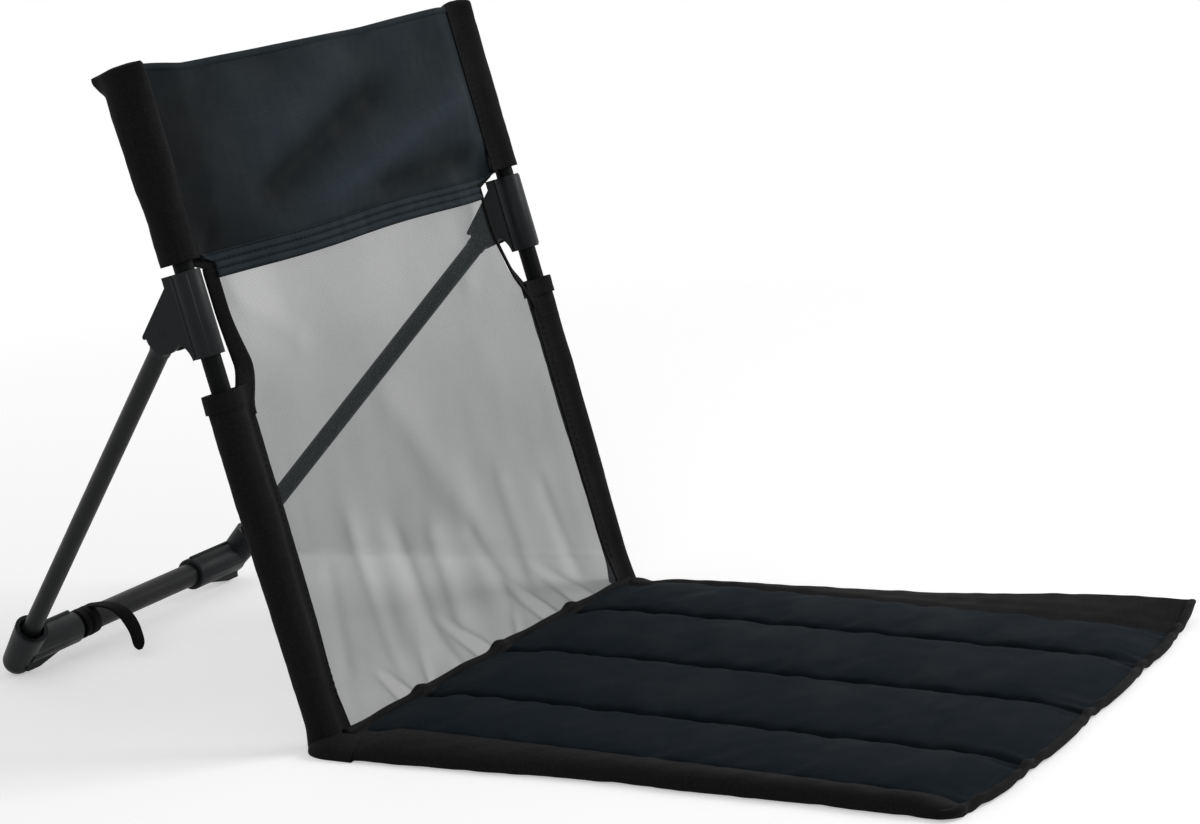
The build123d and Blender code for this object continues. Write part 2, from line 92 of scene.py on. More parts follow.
# Long folds of the net: start and end as places across and along, then depth and width
NET_FOLDS = (
    ((-0.034, 0.190), (0.038, 0.066), 0.0022, 0.015),
    ((-0.104, 0.120), (-0.098, 0.016), 0.0018, 0.008),
    ((-0.066, 0.105), (-0.052, 0.014), -0.0022, 0.009),
    ((-0.022, 0.096), (-0.020, 0.026), 0.0024, 0.010),
    ((0.016, 0.084), (0.040, 0.020), -0.0022, 0.009),
    ((0.070, 0.110), (0.074, 0.026), 0.0018, 0.010),
    ((0.112, 0.090), (0.124, 0.020), -0.0016, 0.008),
    ((-0.140, 0.100), (-0.150, 0.034), -0.0012, 0.008),
)

# Gathers at the net's foot: place across, lean, depth and width
NET_GATHERS = (
    (-0.108, -0.5, 0.0020, 0.0030),
    (-0.095, -0.9, -0.0026, 0.0030),
    (-0.078, 0.2, 0.0016, 0.0040),
    (-0.040, -0.4, -0.0014, 0.0040),
    (-0.012, -0.9, 0.0024, 0.0030),
    (0.003, -1.1, -0.0026, 0.0030),
    (0.030, 0.3, 0.0014, 0.0045),
    (0.072, -0.9, 0.0022, 0.0032),
    (0.086, -1.1, -0.0026, 0.0030),
    (0.116, -1.0, 0.0022, 0.0034),
    (0.133, -1.2, -0.0022, 0.0034),
)

# The seat mat
SEAT_FRONT = -0.3494
SEAT_REAR = 0.0346
SEAT_EDGE = 0.197
QUILT_REAR = 0.0402
BORDER = 0.168
SEAMS = np.array((-BORDER, -0.095, 0.0, 0.095, BORDER))
SEAM_OVERLAP = 0.012
GROUND_GAP = 0.0007
QUILT_UNDERSIDE = 0.0006
QUILT_LEAST = 0.0022
PUFF_FRAMES = 20

# Gathered corners where the sleeves run into the seat: half width and middle at the seat and at the sleeve
CORNERS = {
    "left": {"half": (0.0150, 0.0150), "middle": (0.1905, 0.1905), "run": 0.0365,
             "girth": 0.062, "height": 0.0062, "rise": 0.0022},
    "right": {"half": (0.0065, 0.0080), "middle": (0.1750, 0.1790), "run": 0.0300,
              "girth": 0.034, "height": 0.0026, "rise": 0.0006},
}
CORNER_START = 0.0225

# The storage strap: turns round the bar, then the tail's route from where it leaves the bar
STRAP_WIDTH = 0.0105
STRAP_THICKNESS = 0.0016
STRAP_X = -0.060
STRAP_SPREAD = 0.0145
STRAP_TURNS = (-1.9, 0.25)
STRAP_TAIL = ((0, 0, 0), (-0.001, -0.014, 0.003), (-0.004, -0.030, 0.000), (-0.009, -0.042, -0.008),
              (-0.014, -0.049, -0.016), (-0.017, -0.052, -0.0215))

# The stage: the camera's place, turned about the point that it looks at, the lamps and the floor
CAMERA_AZIMUTH = math.radians(-60.695)
CAMERA_ELEVATION = math.radians(12.015)
CAMERA_ROLL = math.radians(-4.087)
CAMERA_DISTANCE = 1.849704
CAMERA_LENS = 90.14
CAMERA_TARGET = Vector((0.004318, -0.041142, 0.164071))
LAMP_TARGET = Vector((0, 0, 0.12))
FLOOR_RADIUS = 2.6
FLOOR_FADE = (0.55, 1.5)

# Edges of the moulded pieces
FACET_GAP = 0.00001
SHARP_ANGLE = math.radians(32)


class ClothSettings(bpy.types.PropertyGroup):
    """Colours and textures of the chair's cloth"""

    panel: bpy.props.FloatVectorProperty(
        name="Panel cloth", description="Woven cloth of the head panel",
        subtype="COLOR", size=3, min=0, max=1, default=(0.0092, 0.0140, 0.0174))
    # A darker copy of the panel's tint: painted shade on the seat
    seat: bpy.props.FloatVectorProperty(
        name="Seat cloth", description="Woven cloth of the seat's cover",
        subtype="COLOR", size=3, min=0, max=1, default=(0.0052, 0.0083, 0.0112))
    tape: bpy.props.FloatVectorProperty(
        name="Edge tape", description="Woven tape of the sleeves, bands and bindings",
        subtype="COLOR", size=3, min=0, max=1, default=(0.0058, 0.0058, 0.0064))
    net: bpy.props.FloatVectorProperty(
        name="Net thread", description="Thread of the knitted net",
        subtype="COLOR", size=3, min=0, max=1, default=(0.020, 0.025, 0.027))
    strap: bpy.props.FloatVectorProperty(
        name="Strap", description="Webbing of the storage strap",
        subtype="COLOR", size=3, min=0, max=1, default=(0.0028, 0.0029, 0.0030))
    thread: bpy.props.FloatVectorProperty(
        name="Sewing thread", description="Thread of the visible stitching",
        subtype="COLOR", size=3, min=0, max=1, default=(0.0085, 0.0090, 0.0095))
    net_cover: bpy.props.FloatProperty(
        name="Net cover", description="Share of the net that its threads fill",
        subtype="FACTOR", min=0.3, max=0.95, default=0.66)
    net_pitch: bpy.props.FloatProperty(
        name="Net pitch", description="Distance from one hole of the net to the next",
        unit="LENGTH", min=0.0005, max=0.01, default=0.0009)
    stitch: bpy.props.FloatProperty(
        name="Stitch length", description="Length of one visible stitch",
        unit="LENGTH", min=0.001, max=0.01, default=0.0030)
    cloth: bpy.props.FloatProperty(
        name="Cloth thickness", description="Thickness of one layer of sewn cloth",
        unit="LENGTH", min=0.0003, max=0.004, default=0.0012)


class SeatSettings(bpy.types.PropertyGroup):
    """Padding of the seat mat"""

    pressure: bpy.props.FloatProperty(
        name="Filling pressure", description="Pressure that puffs the channels up",
        min=0, max=20, default=4.0)
    slack: bpy.props.FloatProperty(
        name="Cover slack", description="How much larger the cover is than the mat",
        subtype="FACTOR", min=0, max=0.1, default=0.007)
    crown: bpy.props.FloatProperty(
        name="Channel crown", description="Highest rise of a channel above its seams",
        unit="LENGTH", min=0.001, max=0.02, default=0.0052)
    skew: bpy.props.FloatProperty(
        name="Seam drift", description="How far the seams drift sideways towards the front",
        unit="LENGTH", min=0, max=0.03, default=0.013)
    scallop: bpy.props.FloatProperty(
        name="Front scallop", description="How far each channel bulges at the front edge",
        unit="LENGTH", min=0, max=0.01, default=0.0022)


class FrameSettings(bpy.types.PropertyGroup):
    """Finishes of the tubes and mouldings"""

    tube: bpy.props.FloatVectorProperty(
        name="Legs", description="Satin coating of the legs and bar",
        subtype="COLOR", size=3, min=0, max=1, default=(0.0066, 0.0072, 0.0076))
    # A darker copy of the legs' tint: painted shade on the poles
    pole: bpy.props.FloatVectorProperty(
        name="Poles", description="Satin coating of the poles",
        subtype="COLOR", size=3, min=0, max=1, default=(0.0036, 0.0040, 0.0043))
    moulding: bpy.props.FloatVectorProperty(
        name="Mouldings", description="Nylon of the hubs and feet",
        subtype="COLOR", size=3, min=0, max=1, default=(0.0062, 0.0076, 0.0086))
    steel: bpy.props.FloatVectorProperty(
        name="Pins", description="Blackened steel of the hinge pins",
        subtype="COLOR", size=3, min=0, max=1, default=(0.010, 0.011, 0.012))
    edge: bpy.props.FloatProperty(
        name="Moulded edge", description="Radius that rounds the edges of mouldings",
        unit="LENGTH", min=0, max=0.003, default=0.0008)


class StageSettings(bpy.types.PropertyGroup):
    """Floor and light"""

    floor: bpy.props.FloatVectorProperty(
        name="Floor", description="Colour of the floor",
        subtype="COLOR", size=3, min=0, max=1, default=(0.80, 0.80, 0.80))
    sky: bpy.props.FloatProperty(
        name="Room light", description="Strength of the even light from all sides",
        min=0, max=2, default=0.40)
    paper: bpy.props.FloatProperty(
        name="Paper white", description="Light that the floor adds where it is seen",
        min=0, max=1, default=0.40)
    key: bpy.props.FloatProperty(
        name="Key light", description="Power of the large lamp above the front",
        unit="POWER", min=0, max=500, default=42.0)
    fill: bpy.props.FloatProperty(
        name="Fill light", description="Power of the lamp on the other side and, weaker, of the one behind",
        unit="POWER", min=0, max=500, default=6.0)


# Surfaces and their unevenness

def on_back(x, behind, along):
    """Points of the chair's back, from across, behind the poles and along them."""
    x, behind, along = np.broadcast_arrays(x, behind, along)
    y = POLE_ROOT_Y + behind * math.cos(RECLINE) + along * math.sin(RECLINE)
    z = along * math.cos(RECLINE) - behind * math.sin(RECLINE)
    return np.stack([x, y, z], axis=-1).astype(float)


REARWARD = on_back(0.0, 1.0, 0.0) - on_back(0.0, 0.0, 0.0)
UPWARD = on_back(0.0, 0.0, 1.0) - on_back(0.0, 0.0, 0.0)


def behind_poles(points):
    """How far points lie behind the poles."""
    return (points - on_back(0.0, 0.0, 0.0)) @ REARWARD


def ease(value, start, end):
    """Smooth step from 0 at start to 1 at end."""
    share = np.clip((np.asarray(value, float) - start) / (end - start), 0, 1)
    return share * share * (3 - 2 * share)


def ripple(a, b, size, seed):
    """Smooth unevenness of about -1 to 1, with waves of about that size."""
    draw = np.random.default_rng(seed)
    total = np.zeros(np.broadcast(a, b).shape)
    for turn, phase, stretch in draw.uniform(0, 1, (7, 3)):
        angle = turn * 2 * math.pi
        wave = 2 * math.pi / (size * (0.6 + stretch))
        total += np.sin((a * math.cos(angle) + b * math.sin(angle)) * wave + phase * 2 * math.pi)
    return total / 3.2


def crease(a, b, start, end, depth, width):
    """One soft fold along a line, fading out at its ends."""
    run = Vector(end) - Vector(start)
    d = run.normalized()
    along = ((a - start[0]) * d[0] + (b - start[1]) * d[1]) / run.length
    off = (b - start[1]) * d[0] - (a - start[0]) * d[1]
    over = np.maximum(np.abs(along - 0.5) - 0.38, 0)
    return depth * np.exp(-(off / width) ** 2 - (over / 0.16) ** 2)


def grid_faces(rows, columns, wrap):
    """Quads of a grid of points, closed round its rows where it wraps."""
    last = rows if wrap else rows - 1
    i, j = np.meshgrid(np.arange(last), np.arange(columns - 1), indexing="ij")
    a = i * columns + j
    b = (i + 1) % rows * columns + j
    return np.stack([a, b, b + 1, a + 1], axis=-1).reshape(-1, 4)


def surface_normals(grid):
    """Unit normals of a grid of points."""
    normal = np.cross(np.gradient(grid, axis=0), np.gradient(grid, axis=1))
    return normal / np.maximum(np.linalg.norm(normal, axis=-1, keepdims=True), 1e-12)


def along_column(grid, column):
    """Points of a grid along a column, which may lie between two."""
    first = int(column)
    share = column - first
    return grid[:, first] * (1 - share) + grid[:, first + 1] * share


def new_object(name, points, faces, material, lengths=None):
    """Smooth mesh object in the scene, with a cloth map in metres where lengths are given."""
    mesh = bpy.data.meshes.new(name)
    spots = np.asarray(points).reshape(-1, 3).tolist()
    mesh.from_pydata(spots, [], [list(face) for face in faces])
    mesh.polygons.foreach_set("use_smooth", [True] * len(mesh.polygons))
    if lengths is not None:
        layer = mesh.uv_layers.new(name="Cloth")
        corner = np.zeros(len(mesh.loops), int)
        mesh.loops.foreach_get("vertex_index", corner)
        flat = np.asarray(lengths, float).reshape(-1, 2)
        layer.data.foreach_set("uv", flat[corner].ravel())
    mesh.materials.append(material)
    piece = bpy.data.objects.new(name, mesh)
    bpy.context.scene.collection.objects.link(piece)
    return piece


def cloth_lengths(grid):
    """Each grid point's place on the flat cloth, in metres."""
    down = np.linalg.norm(np.diff(grid, axis=0), axis=-1).mean(axis=1)
    across = np.linalg.norm(np.diff(grid, axis=1), axis=-1).mean(axis=0)
    u = np.concatenate([[0], np.cumsum(down)])
    v = np.concatenate([[0], np.cumsum(across)])
    return np.stack(np.meshgrid(u, v, indexing="ij"), axis=-1)


def mark(piece, name, values):
    """Gives a mesh's points a value that its material reads."""
    layer = piece.data.attributes.new(name, "FLOAT", "POINT")
    layer.data.foreach_set("value", np.ravel(values))


def cloth_object(name, grid, material, wrap=False, painted_shading=None):
    """Cloth surface through a grid of points, with its painted light and shade where it is given."""
    faces = grid_faces(*grid.shape[:2], wrap)
    piece = new_object(name, grid, faces, material, cloth_lengths(grid))
    if painted_shading is not None:
        mark(piece, "painted_shading", painted_shading)
    return piece


def smoothed(piece):
    """Rounds a piece's surface once."""
    smooth = piece.modifiers.new("Smooth", "SUBSURF")
    smooth.render_levels = 1
    smooth.levels = 1


def thicken(piece):
    """Gives a cloth surface its thickness, half to each side."""
    smoothed(piece)
    shell = piece.modifiers.new("Thickness", "SOLIDIFY")
    shell.thickness = bpy.context.scene.chair_cloth.cloth
    shell.offset = 0
    return piece


def settle(piece, body, slot, *nodes):
    """Puts a piece on its body, in place of the plain solids."""
    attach(piece, body)
    if nodes:
        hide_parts(*nodes)


def swept(name, path, across, up, width, height, material, sides=12, square=0.6):
    """Flat rounded tape along a path, closed at both ends."""
    path = np.asarray(path, float)
    turn = np.linspace(0, 2 * math.pi, sides, endpoint=False)
    shape = np.stack([np.sign(np.cos(turn)) * np.abs(np.cos(turn)) ** square,
                      np.sign(np.sin(turn)) * np.abs(np.sin(turn)) ** square], axis=-1)
    width = np.broadcast_to(width, len(path))[:, None, None] / 2
    height = np.broadcast_to(height, len(path))[:, None, None] / 2
    ring = path[:, None] + across[:, None] * shape[None, :, :1] * width
    ring = ring + up[:, None] * shape[None, :, 1:] * height
    grid = ring.transpose(1, 0, 2)
    count = len(path)
    faces = grid_faces(sides, count, True).tolist()
    faces.append([k * count for k in range(sides)][::-1])
    faces.append([k * count + count - 1 for k in range(sides)])
    return new_object(name, grid, faces, material, cloth_lengths(grid))


def unit(vectors):
    """Vectors of length 1 in the same directions."""
    return vectors / np.linalg.norm(vectors, axis=1, keepdims=True)


def path_frames(path, up):
    """Across and up directions along a path, with up kept near the one given."""
    tangent = unit(np.gradient(path, axis=0))
    across = unit(np.cross(tangent, np.broadcast_to(up, tangent.shape)))
    return across, np.cross(across, tangent)


class Stitches:
    """Collects rows of stitches for one mesh."""

    WIDTH = 0.0007
    RISE = 0.0004
    SUNK = 0.0003
    GAP = 0.4

    def __init__(self, length):
        self.length = length
        self.points = []
        self.faces = []

    def row(self, path, normal):
        """Stitches along a line of surface points with their normals."""
        steps = np.linalg.norm(np.diff(path, axis=0), axis=1)
        reached = np.concatenate([[0], np.cumsum(steps)])
        pitch = self.length * (1 + self.GAP)
        half = self.length / 2
        for middle in np.arange(pitch / 2, reached[-1], pitch):
            spots = np.array([middle - half, middle, middle + half])
            line = np.stack([np.interp(spots, reached, path[:, k]) for k in range(3)], axis=-1)
            up = np.array([np.interp(middle, reached, normal[:, k]) for k in range(3)])
            self.stitch(line, up / np.linalg.norm(up))

    def stitch(self, line, up):
        """One stitch, low at both ends."""
        side = np.cross(up, line[2] - line[0])
        side *= self.WIDTH / 2 / np.linalg.norm(side)
        first = len(self.points)
        for spot, high in zip(line, (0.2, 1.0, 0.2)):
            foot = side * (0.45 + 0.55 * high)
            low = up * -self.SUNK
            top = up * self.RISE * high
            self.points += [spot - foot + low, spot - foot * 0.7 + top,
                            spot + foot * 0.7 + top, spot + foot + low]
        for ring in (0, 4):
            for k in range(3):
                a = first + ring + k
                self.faces.append((a, a + 1, a + 5, a + 4))
        self.faces.append((first + 3, first + 2, first + 1, first))
        self.faces.append((first + 8, first + 9, first + 10, first + 11))


# Shader groups and materials

def place(tree, kind, feeds=None, **settings):
    """Adds a shader node with its settings, and feeds its inputs from sockets or values."""
    node = tree.nodes.new(kind)
    for key, value in settings.items():
        setattr(node, key, value)
    for key, value in (feeds or {}).items():
        if isinstance(value, bpy.types.NodeSocket):
            tree.links.new(value, node.inputs[key])
        else:
            node.inputs[key].default_value = value
    return node


def sum_of(tree, operation, a, b=0.0, c=0.0, clamp=False):
    """Output of a Math node."""
    feeds = {0: a, 1: b, 2: c}
    return place(tree, "ShaderNodeMath", feeds, operation=operation, use_clamp=clamp).outputs[0]


def noise(tree, vector, scale, detail, roughness=0.5):
    """Output of a Noise node."""
    feeds = {"Vector": vector, "Scale": scale, "Detail": detail, "Roughness": roughness}
    return place(tree, "ShaderNodeTexNoise", feeds).outputs[0]


def scaled(tree, colour, factor):
    """A colour times a value."""
    feeds = {0: colour, "Scale": factor}
    return place(tree, "ShaderNodeVectorMath", feeds, operation="SCALE").outputs[0]


def seen_rays(tree):
    """1 for rays that show the background: the camera's, glossy and see-through ones."""
    ray = place(tree, "ShaderNodeLightPath").outputs
    seen = sum_of(tree, "MAXIMUM", ray["Is Camera Ray"], ray["Is Glossy Ray"])
    return sum_of(tree, "MAXIMUM", seen, ray["Is Transmission Ray"])


def varied(tree, value, middle, amount):
    """Factor of about 1 that follows a value about its middle."""
    return sum_of(tree, "MULTIPLY_ADD", sum_of(tree, "SUBTRACT", value, middle), amount, 1.0)


def spread(tree, value, low, high, start=0.0, end=1.0):
    """A value of start to end moved to low to high."""
    feeds = {"Value": value, "From Min": start, "From Max": end, "To Min": low, "To Max": high}
    return place(tree, "ShaderNodeMapRange", feeds).outputs[0]


def new_group(name, inputs, outputs):
    """Empty shader group with named sockets. Gives its tree and its two ends."""
    tree = bpy.data.node_groups.new(name, "ShaderNodeTree")
    kinds = {"color": "NodeSocketColor", "value": "NodeSocketFloat"}
    for label, kind in inputs.items():
        tree.interface.new_socket(label, in_out="INPUT", socket_type=kinds[kind])
    for label, kind in outputs.items():
        tree.interface.new_socket(label, in_out="OUTPUT", socket_type=kinds[kind])
    return tree, tree.nodes.new("NodeGroupInput").outputs, tree.nodes.new("NodeGroupOutput").inputs


def woven_cloth():
    """Group: plain weave with slubs, grain and faded patches on the cloth's own map, with the painted light
    and shade that the mesh's points carry.
    """
    name = "Woven cloth"
    if name in bpy.data.node_groups:
        return bpy.data.node_groups[name]
    tree, given, result = new_group(
        name, {"Tint": "color", "Threads": "value", "Weave": "value", "Fading": "value",
               "Slub": "value", "Grain": "value"},
        {"Color": "color", "Roughness": "value", "Height": "value"})
    flat = place(tree, "ShaderNodeUVMap", uv_map="Cloth").outputs[0]
    split = place(tree, "ShaderNodeSeparateXYZ", {0: flat}).outputs
    waves = []
    for axis in (0, 1):
        turns = sum_of(tree, "MULTIPLY", split[axis], given["Threads"])
        waves.append(sum_of(tree, "SINE", sum_of(tree, "MULTIPLY", turns, math.pi)))
    weave = sum_of(tree, "MULTIPLY", *waves)
    threads = []
    for stretch in ((28.0, 900.0, 1.0), (900.0, 28.0, 1.0)):
        pulled = place(tree, "ShaderNodeMapping", {"Vector": flat, "Scale": stretch}).outputs[0]
        threads.append(noise(tree, pulled, scale=1.0, detail=2.0))
    slubs = sum_of(tree, "ADD", *threads)
    patch = noise(tree, flat, scale=22.0, detail=4.0, roughness=0.6)
    speck = noise(tree, flat, scale=520.0, detail=3.0)
    # Painted light and shade: the mesh's points make the cloth's colour lighter or darker
    painted_shading = place(tree, "ShaderNodeAttribute", attribute_name="painted_shading").outputs["Fac"]
    factor = varied(tree, painted_shading, 0.0, 1.0)
    effects = ((weave, 0.0, "Weave"), (patch, 0.5, "Fading"), (slubs, 1.0, "Slub"), (speck, 0.5, "Grain"))
    for value, middle, amount in effects:
        factor = sum_of(tree, "MULTIPLY", factor, varied(tree, value, middle, given[amount]))
    tree.links.new(scaled(tree, given["Tint"], factor), result["Color"])
    tree.links.new(spread(tree, patch, 0.72, 0.92, 0.3, 0.7), result["Roughness"])
    tree.links.new(sum_of(tree, "MULTIPLY_ADD", slubs, 0.7, weave), result["Height"])
    return tree


def handled_finish():
    """Group: fine grain, uneven sheen and light scuffs of a coated or moulded surface."""
    name = "Handled finish"
    if name in bpy.data.node_groups:
        return bpy.data.node_groups[name]
    tree, given, result = new_group(
        name, {"Tint": "color", "Sheen": "value", "Grain": "value", "Scuff": "value"},
        {"Color": "color", "Roughness": "value", "Height": "value"})
    spot = place(tree, "ShaderNodeTexCoord").outputs["Object"]
    cloud = noise(tree, spot, scale=55.0, detail=5.0, roughness=0.65)
    turned = {"Vector": spot, "Rotation": (0.5, 0.4, 0.7), "Scale": (900.0, 60.0, 60.0)}
    scratch = place(tree, "ShaderNodeMapping", turned).outputs[0]
    lines = noise(tree, scratch, scale=1.0, detail=3.0)
    lines = spread(tree, lines, 0.0, 1.0, 0.64, 0.74)
    mask = sum_of(tree, "MULTIPLY", lines, spread(tree, cloud, 0.0, 1.0, 0.5, 0.62))
    worn = sum_of(tree, "MULTIPLY", mask, given["Scuff"])
    shade = sum_of(tree, "ADD", spread(tree, cloud, 0.82, 1.18, 0.3, 0.7), worn)
    tree.links.new(scaled(tree, given["Tint"], shade), result["Color"])
    rough = sum_of(tree, "ADD", given["Sheen"], spread(tree, cloud, -0.07, 0.09, 0.3, 0.7))
    rough = sum_of(tree, "ADD", rough, sum_of(tree, "MULTIPLY", mask, 0.12), clamp=True)
    tree.links.new(rough, result["Roughness"])
    tree.links.new(noise(tree, spot, scale=given["Grain"], detail=2.0), result["Height"])
    return tree


def new_material(name):
    """New material, with its tree and its Principled shader."""
    material = bpy.data.materials.new(name)
    material.use_nodes = True
    tree = material.node_tree
    return material, tree, tree.nodes["Principled BSDF"]


def finished(name, group, values, gloss, metal, strength, distance):
    """Material fed by a group with its own values, made once."""
    if name in bpy.data.materials:
        return bpy.data.materials[name]
    material, tree, shader = new_material(name)
    finish = place(tree, "ShaderNodeGroup", values, node_tree=group).outputs
    relief = {"Strength": strength, "Distance": distance, "Height": finish["Height"]}
    bump = place(tree, "ShaderNodeBump", relief).outputs[0]
    tree.links.new(finish["Color"], shader.inputs["Base Color"])
    tree.links.new(finish["Roughness"], shader.inputs["Roughness"])
    tree.links.new(bump, shader.inputs["Normal"])
    shader.inputs["Metallic"].default_value = metal
    shader.inputs["Specular IOR Level"].default_value = gloss
    return material


def cloth_material(name, tint, threads, weave, fading, slub, grain, gloss):
    """Woven cloth with a faint gloss."""
    values = {"Tint": (*tint, 1), "Threads": threads, "Weave": weave, "Fading": fading,
              "Slub": slub, "Grain": grain}
    return finished(name, woven_cloth(), values, gloss, metal=0.0, strength=0.35, distance=0.00025)


def panel_cloth():
    """Blue-black cloth of the head panel."""
    return cloth_material("Panel cloth", bpy.context.scene.chair_cloth.panel, threads=1700.0,
                          weave=0.20, fading=0.40, slub=0.55, grain=0.3, gloss=0.13)


def shaded_seat_cloth():
    """Cloth of the seat's cover: the panel's oxford with a darker tint, painted shade on the seat."""
    return cloth_material("Seat cloth", bpy.context.scene.chair_cloth.seat, threads=1700.0,
                          weave=0.20, fading=0.40, slub=0.60, grain=0.4, gloss=0.045)


def edge_tape():
    """Black tape of sleeves, bands and bindings."""
    return cloth_material("Edge tape", bpy.context.scene.chair_cloth.tape, threads=1100.0,
                          weave=0.30, fading=0.80, slub=0.9, grain=1.8, gloss=0.08)


def strap_webbing():
    """Black webbing."""
    return cloth_material("Strap webbing", bpy.context.scene.chair_cloth.strap, threads=1300.0,
                          weave=0.3, fading=0.3, slub=0.6, grain=0.5, gloss=0.08)


def coat_material(name, tint, sheen, grain, scuff, gloss, metal=0.0, strength=0.04, distance=0.0002):
    """Coated, moulded or twisted surface."""
    values = {"Tint": (*tint, 1), "Sheen": sheen, "Grain": grain, "Scuff": scuff}
    return finished(name, handled_finish(), values, gloss, metal, strength, distance)


def sewing_thread():
    """Twisted thread of the stitches."""
    return coat_material("Sewing thread", bpy.context.scene.chair_cloth.thread, sheen=0.6, grain=2500.0,
                         scuff=0.0, gloss=0.06, strength=0.3, distance=0.0001)


def shaded_pole_coat():
    """Satin black coat of the poles: a darker, duller copy of the legs' coat, painted shade on the poles.
    """
    return coat_material("Pole coat", bpy.context.scene.chair_frame.pole, sheen=0.46, grain=1800.0,
                         scuff=0.9, gloss=0.05)


def tube_coat():
    """Satin dark grey coat of the legs and cross bar."""
    return coat_material("Tube coat", bpy.context.scene.chair_frame.tube, sheen=0.42, grain=1800.0,
                         scuff=0.9, gloss=0.17, metal=0.10)


def moulded_nylon():
    """Satin black nylon."""
    return coat_material("Moulded nylon", bpy.context.scene.chair_frame.moulding, sheen=0.44, grain=1500.0,
                         scuff=0.7, gloss=0.15, strength=0.16)


def dark_steel():
    """Dull blackened steel."""
    return coat_material("Blackened steel", bpy.context.scene.chair_frame.steel, sheen=0.46, grain=2200.0,
                         scuff=0.5, gloss=0.15, metal=0.3, strength=0.08)


def knitted_net():
    """Dark net that shows what is behind it. Its folds and painted shade close the holes, as the fold
    attribute says.
    """
    name = "Knitted net"
    if name in bpy.data.materials:
        return bpy.data.materials[name]
    material, tree, shader = new_material(name)
    cloth = bpy.context.scene.chair_cloth
    flat = place(tree, "ShaderNodeUVMap", uv_map="Cloth").outputs[0]
    split = place(tree, "ShaderNodeSeparateXYZ", {0: flat}).outputs
    diagonals = []
    for operation in ("ADD", "SUBTRACT"):
        run = sum_of(tree, operation, split[0], split[1])
        turns = sum_of(tree, "MULTIPLY", run, math.pi / cloth.net_pitch)
        diagonals.append(sum_of(tree, "COSINE", turns))
    holes = sum_of(tree, "MULTIPLY", sum_of(tree, "MULTIPLY", *diagonals), -0.12)
    patch = noise(tree, flat, scale=14.0, detail=3.0)
    uneven = sum_of(tree, "ADD", holes, spread(tree, patch, -0.025, 0.025, 0.3, 0.7))
    # The fold attribute also carries painted shade
    fold = place(tree, "ShaderNodeAttribute", attribute_name="fold").outputs["Fac"]
    cover = sum_of(tree, "ADD", uneven, sum_of(tree, "ADD", fold, cloth.net_cover))
    open_cover = sum_of(tree, "MAXIMUM", cover, 0.05)
    tree.links.new(sum_of(tree, "MINIMUM", open_cover, 0.97), shader.inputs["Alpha"])
    shade = spread(tree, patch, 0.85, 1.15, 0.3, 0.7)
    tree.links.new(scaled(tree, tuple(cloth.net), shade), shader.inputs["Base Color"])
    shader.inputs["Roughness"].default_value = 0.85
    shader.inputs["Specular IOR Level"].default_value = 0.2
    return material


def dress(nodes, material, edge=0.0):
    """Gives CAD pieces a finish, and softens their edges."""
    for node in nodes:
        piece = NODES[node]
        piece.data.materials.clear()
        piece.data.materials.append(material)
        if edge:
            weld = piece.modifiers.new("Join facets", "WELD")
            weld.merge_threshold = FACET_GAP
            soft = piece.modifiers.new("Moulded edge", "BEVEL")
            soft.width = edge
            soft.segments = 2
            soft.limit_method = "ANGLE"
            soft.angle_limit = SHARP_ANGLE
            soft.harden_normals = True


# Operators

class CHAIR_OT_tubes(bpy.types.Operator):
    """Coats the poles, legs and cross bar"""
    bl_idname = "chair.tubes"
    bl_label = "Tubes"
    bl_options = {"REGISTER", "UNDO"}

    def execute(self, context):
        dress(("left_pole", "right_pole"), shaded_pole_coat())
        dress(("left_rear_leg", "right_rear_leg", "rear_cross_bar"), tube_coat())
        return {"FINISHED"}


class CHAIR_OT_mouldings(bpy.types.Operator):
    """Finishes the hubs, leg ends, feet and pole caps"""
    bl_idname = "chair.mouldings"
    bl_label = "Mouldings"
    bl_options = {"REGISTER", "UNDO"}

    def execute(self, context):
        scene = context.scene
        names = [side + part for side in SIDES for part in ("_hub", "_leg_knuckle", "_foot_elbow")]
        dress(names, moulded_nylon(), scene.chair_frame.edge)
        dress(("pole_top_caps", "pole_foot_caps"), moulded_nylon())
        return {"FINISHED"}


class CHAIR_OT_pins(bpy.types.Operator):
    """Finishes the hinge pins"""
    bl_idname = "chair.pins"
    bl_label = "Hinge pins"
    bl_options = {"REGISTER", "UNDO"}

    def execute(self, context):
        dress(("hub_pins",), dark_steel())
        return {"FINISHED"}


def foot_taper(along):
    """How much wider the net is towards its foot."""
    return FOOT_TAPER * (1 - ease(along, 0.004, 0.110))


def panel_seam(side):
    """How far out the head panel's seam lies on a side."""
    return np.where(np.asarray(side) < 0, PANEL_X, PANEL_RIGHT)


def cloth_edge(along):
    """Half width of the back's cloth at a height, cut away beside each hub."""
    low = NET_X + (CUT_X - NET_X) * ease(along, CUT_FOOT, CUT_FOOT + 0.030)
    low = low + foot_taper(along)
    return low + (PANEL_X - CUT_X) * ease(along, CUT_TOP - 0.0075, CUT_TOP)


def hem_bend(x, along):
    """How far the head panel's lower corners turn back beside the hubs."""
    reach = np.abs(x)
    corner = ease(reach, 0.100, 0.150) * (1 - ease(reach, 0.154, 0.172))
    return 0.0105 * corner * (1 - ease(along, 0.295, 0.322))


def panel_sag(x):
    """How far the head panel's top edge hangs below the sleeves."""
    share = (x + PANEL_X) / (2 * PANEL_X)
    middle = ease(share, 0.0, 0.10) * (1 - ease(share, 0.60, 1.0))
    return 0.0018 + 0.0042 * middle + 0.0010 * ease(share, 0.7, 1.0)


